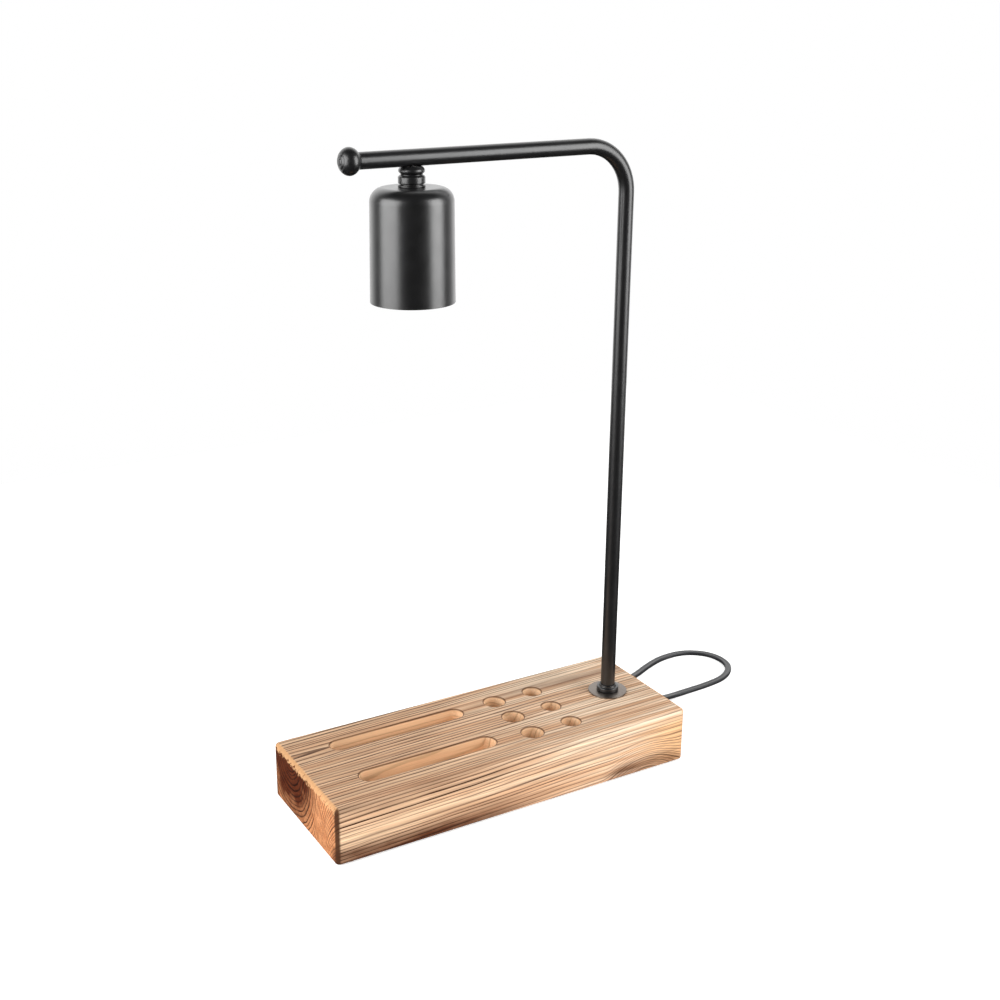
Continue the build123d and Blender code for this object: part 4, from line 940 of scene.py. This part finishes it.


# %% [markdown]
# ## The tie, and what repeats
#
# A hook-and-loop band holds the hank: a flat loop. Felt pads, the grip ribs on the plug and the
# ribs on the rocker are one small shape set down several times. Geometry Nodes do that: the places
# are the points of a mesh, and the tree sets a copy of the shape on each.

# %% Band round the hank
BAND_HALF, BAND_REACH, BAND_LOW, BAND_HIGH, BAND_T = 4.0, 23.7, 0.1, 8.9, 0.7
turns = [math.radians(a) for a in range(0, 181, 15)]
half_h = (BAND_HIGH - BAND_LOW) / 2
middle = (BAND_HIGH + BAND_LOW) / 2
loop = []
for sign in (1, -1):
    for a in turns:
        y = sign * (BAND_REACH - half_h + half_h * math.sin(a))
        loop.append(Vector((y, sign * half_h * math.cos(a))))
shape = bmesh.new()
skin = []
for x in (-BAND_HALF, BAND_HALF):
    for inset in (0.0, BAND_T):
        ring_points = []
        for place in loop:
            scale_y = 1 - inset / BAND_REACH
            scale_z = 1 - inset / half_h
            at = (HANK_X + x, HANK_Y + place.x * scale_y, middle + place.y * scale_z)
            ring_points.append(shape.verts.new(Vector(at) * MM))
        skin.append(ring_points)
for one, other in ((0, 1), (1, 3), (3, 2), (2, 0)):
    bridge(shape, skin[one], skin[other])
bmesh.ops.recalc_face_normals(shape, faces=shape.faces)
band = place_mesh("hank_band", shape)
settle(band, "base", "hank_tie", woven_band)


# %% Helper that repeats a shape
CYLINDER_SIDES = 48


def repeated(name, places, kind, sizes, material, turn=(0.0, 0.0, 0.0)):
    """Sets one primitive down on each place with Geometry Nodes and returns a plain mesh object."""
    tree = bpy.data.node_groups.new(name, "GeometryNodeTree")
    tree.interface.new_socket("Geometry", in_out="INPUT", socket_type="NodeSocketGeometry")
    inputs = {}
    for label, value in sizes.items():
        socket_type = "NodeSocketVector" if isinstance(value, tuple) else "NodeSocketFloat"
        inputs[label] = tree.interface.new_socket(label, in_out="INPUT", socket_type=socket_type)
    tree.interface.new_socket("Geometry", in_out="OUTPUT", socket_type="NodeSocketGeometry")
    entry = add(tree, "NodeGroupInput")
    shape = add(tree, kind, {label: entry.outputs[label] for label in sizes})
    if "Vertices" in shape.inputs:
        shape.inputs["Vertices"].default_value = CYLINDER_SIDES
    copies = add(tree, "GeometryNodeInstanceOnPoints", {
        "Points": entry.outputs["Geometry"], "Instance": shape, "Rotation": turn,
    })
    real = add(tree, "GeometryNodeRealizeInstances", {"Geometry": copies})
    coated = add(tree, "GeometryNodeSetMaterial", {"Geometry": real, "Material": material})
    add(tree, "NodeGroupOutput", {0: coated})

    points = bpy.data.meshes.new(name)
    points.from_pydata([tuple(Vector(p) * MM) for p in places], [], [])
    piece = bpy.data.objects.new(name, points)
    scene.collection.objects.link(piece)
    maker = piece.modifiers.new("copies", "NODES")
    maker.node_group = tree
    for label, value in sizes.items():
        maker[inputs[label].identifier] = value
    bpy.context.view_layer.update()
    depsgraph = bpy.context.evaluated_depsgraph_get()
    plain = bpy.data.meshes.new_from_object(piece.evaluated_get(depsgraph))
    piece.modifiers.remove(maker)
    piece.data = plain
    print(name, "faces:", len(plain.polygons))
    return piece


# %% Felt pads under the block
PAD_X, PAD_Y, PAD_R, PAD_T = 131.0, 43.2, 6.0, 1.5
corners = [(sx * PAD_X, sy * PAD_Y, PAD_T / 2) for sx in (-1, 1) for sy in (-1, 1)]
pad_sizes = {"Radius": PAD_R * MM, "Depth": PAD_T * MM}
pads = repeated("felt_pads", corners, "GeometryNodeMeshCylinder", pad_sizes, felt)
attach(pads, "base")
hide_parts("foot_pads")

# %% Ribs on the plug and on the rocker
PLUG_TOP, PLUG_Y = 13.0, 67.5
GRIPS, FIRST_GRIP_X, GRIP_STEP = 4, -109.0, 2.4
grips = [(FIRST_GRIP_X + GRIP_STEP * k, PLUG_Y, PLUG_TOP) for k in range(GRIPS)]
grip_sizes = {"Size": (1.0 * MM, 17.0 * MM, 0.7 * MM)}
plug_ribs = repeated("plug_ribs", grips, "GeometryNodeMeshCube", grip_sizes, grained_abs)
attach(plug_ribs, "base")
ROCKER_AT = Vector((121.0, 68.0, 12.0))
ROCKER_TILT = math.radians(-8.0)
ROCKER_HALF, CREST, VALLEY = 7.5, 5.6, 4.4
RIB_OFFSETS = (-5.6, -4.2, -2.8, 2.8, 4.2, 5.6)
lean = Matrix.Rotation(ROCKER_TILT, 3, "Y")
marks = []
for offset in RIB_OFFSETS:
    height = VALLEY + (CREST - VALLEY) * abs(offset) / ROCKER_HALF
    marks.append(ROCKER_AT + lean @ Vector((offset, 0, height)))
rib_sizes = {"Size": (0.5 * MM, 6.5 * MM, 0.4 * MM)}
rocker_ribs = repeated("rocker_ribs", marks, "GeometryNodeMeshCube", rib_sizes, smooth_abs,
                       turn=(0.0, ROCKER_TILT, 0.0))
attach(rocker_ribs, "rocker")


# %% [markdown]
# ## The lead's names
#
# The names of both stretches of lead are printed.

# %% Print the names of both stretches of lead
print("cords:", lead.name, hank.name)

# %% Measure the sizes and finish
low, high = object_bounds()
print("visual box", [round(v, 4) for v in low], [round(v, 4) for v in high])
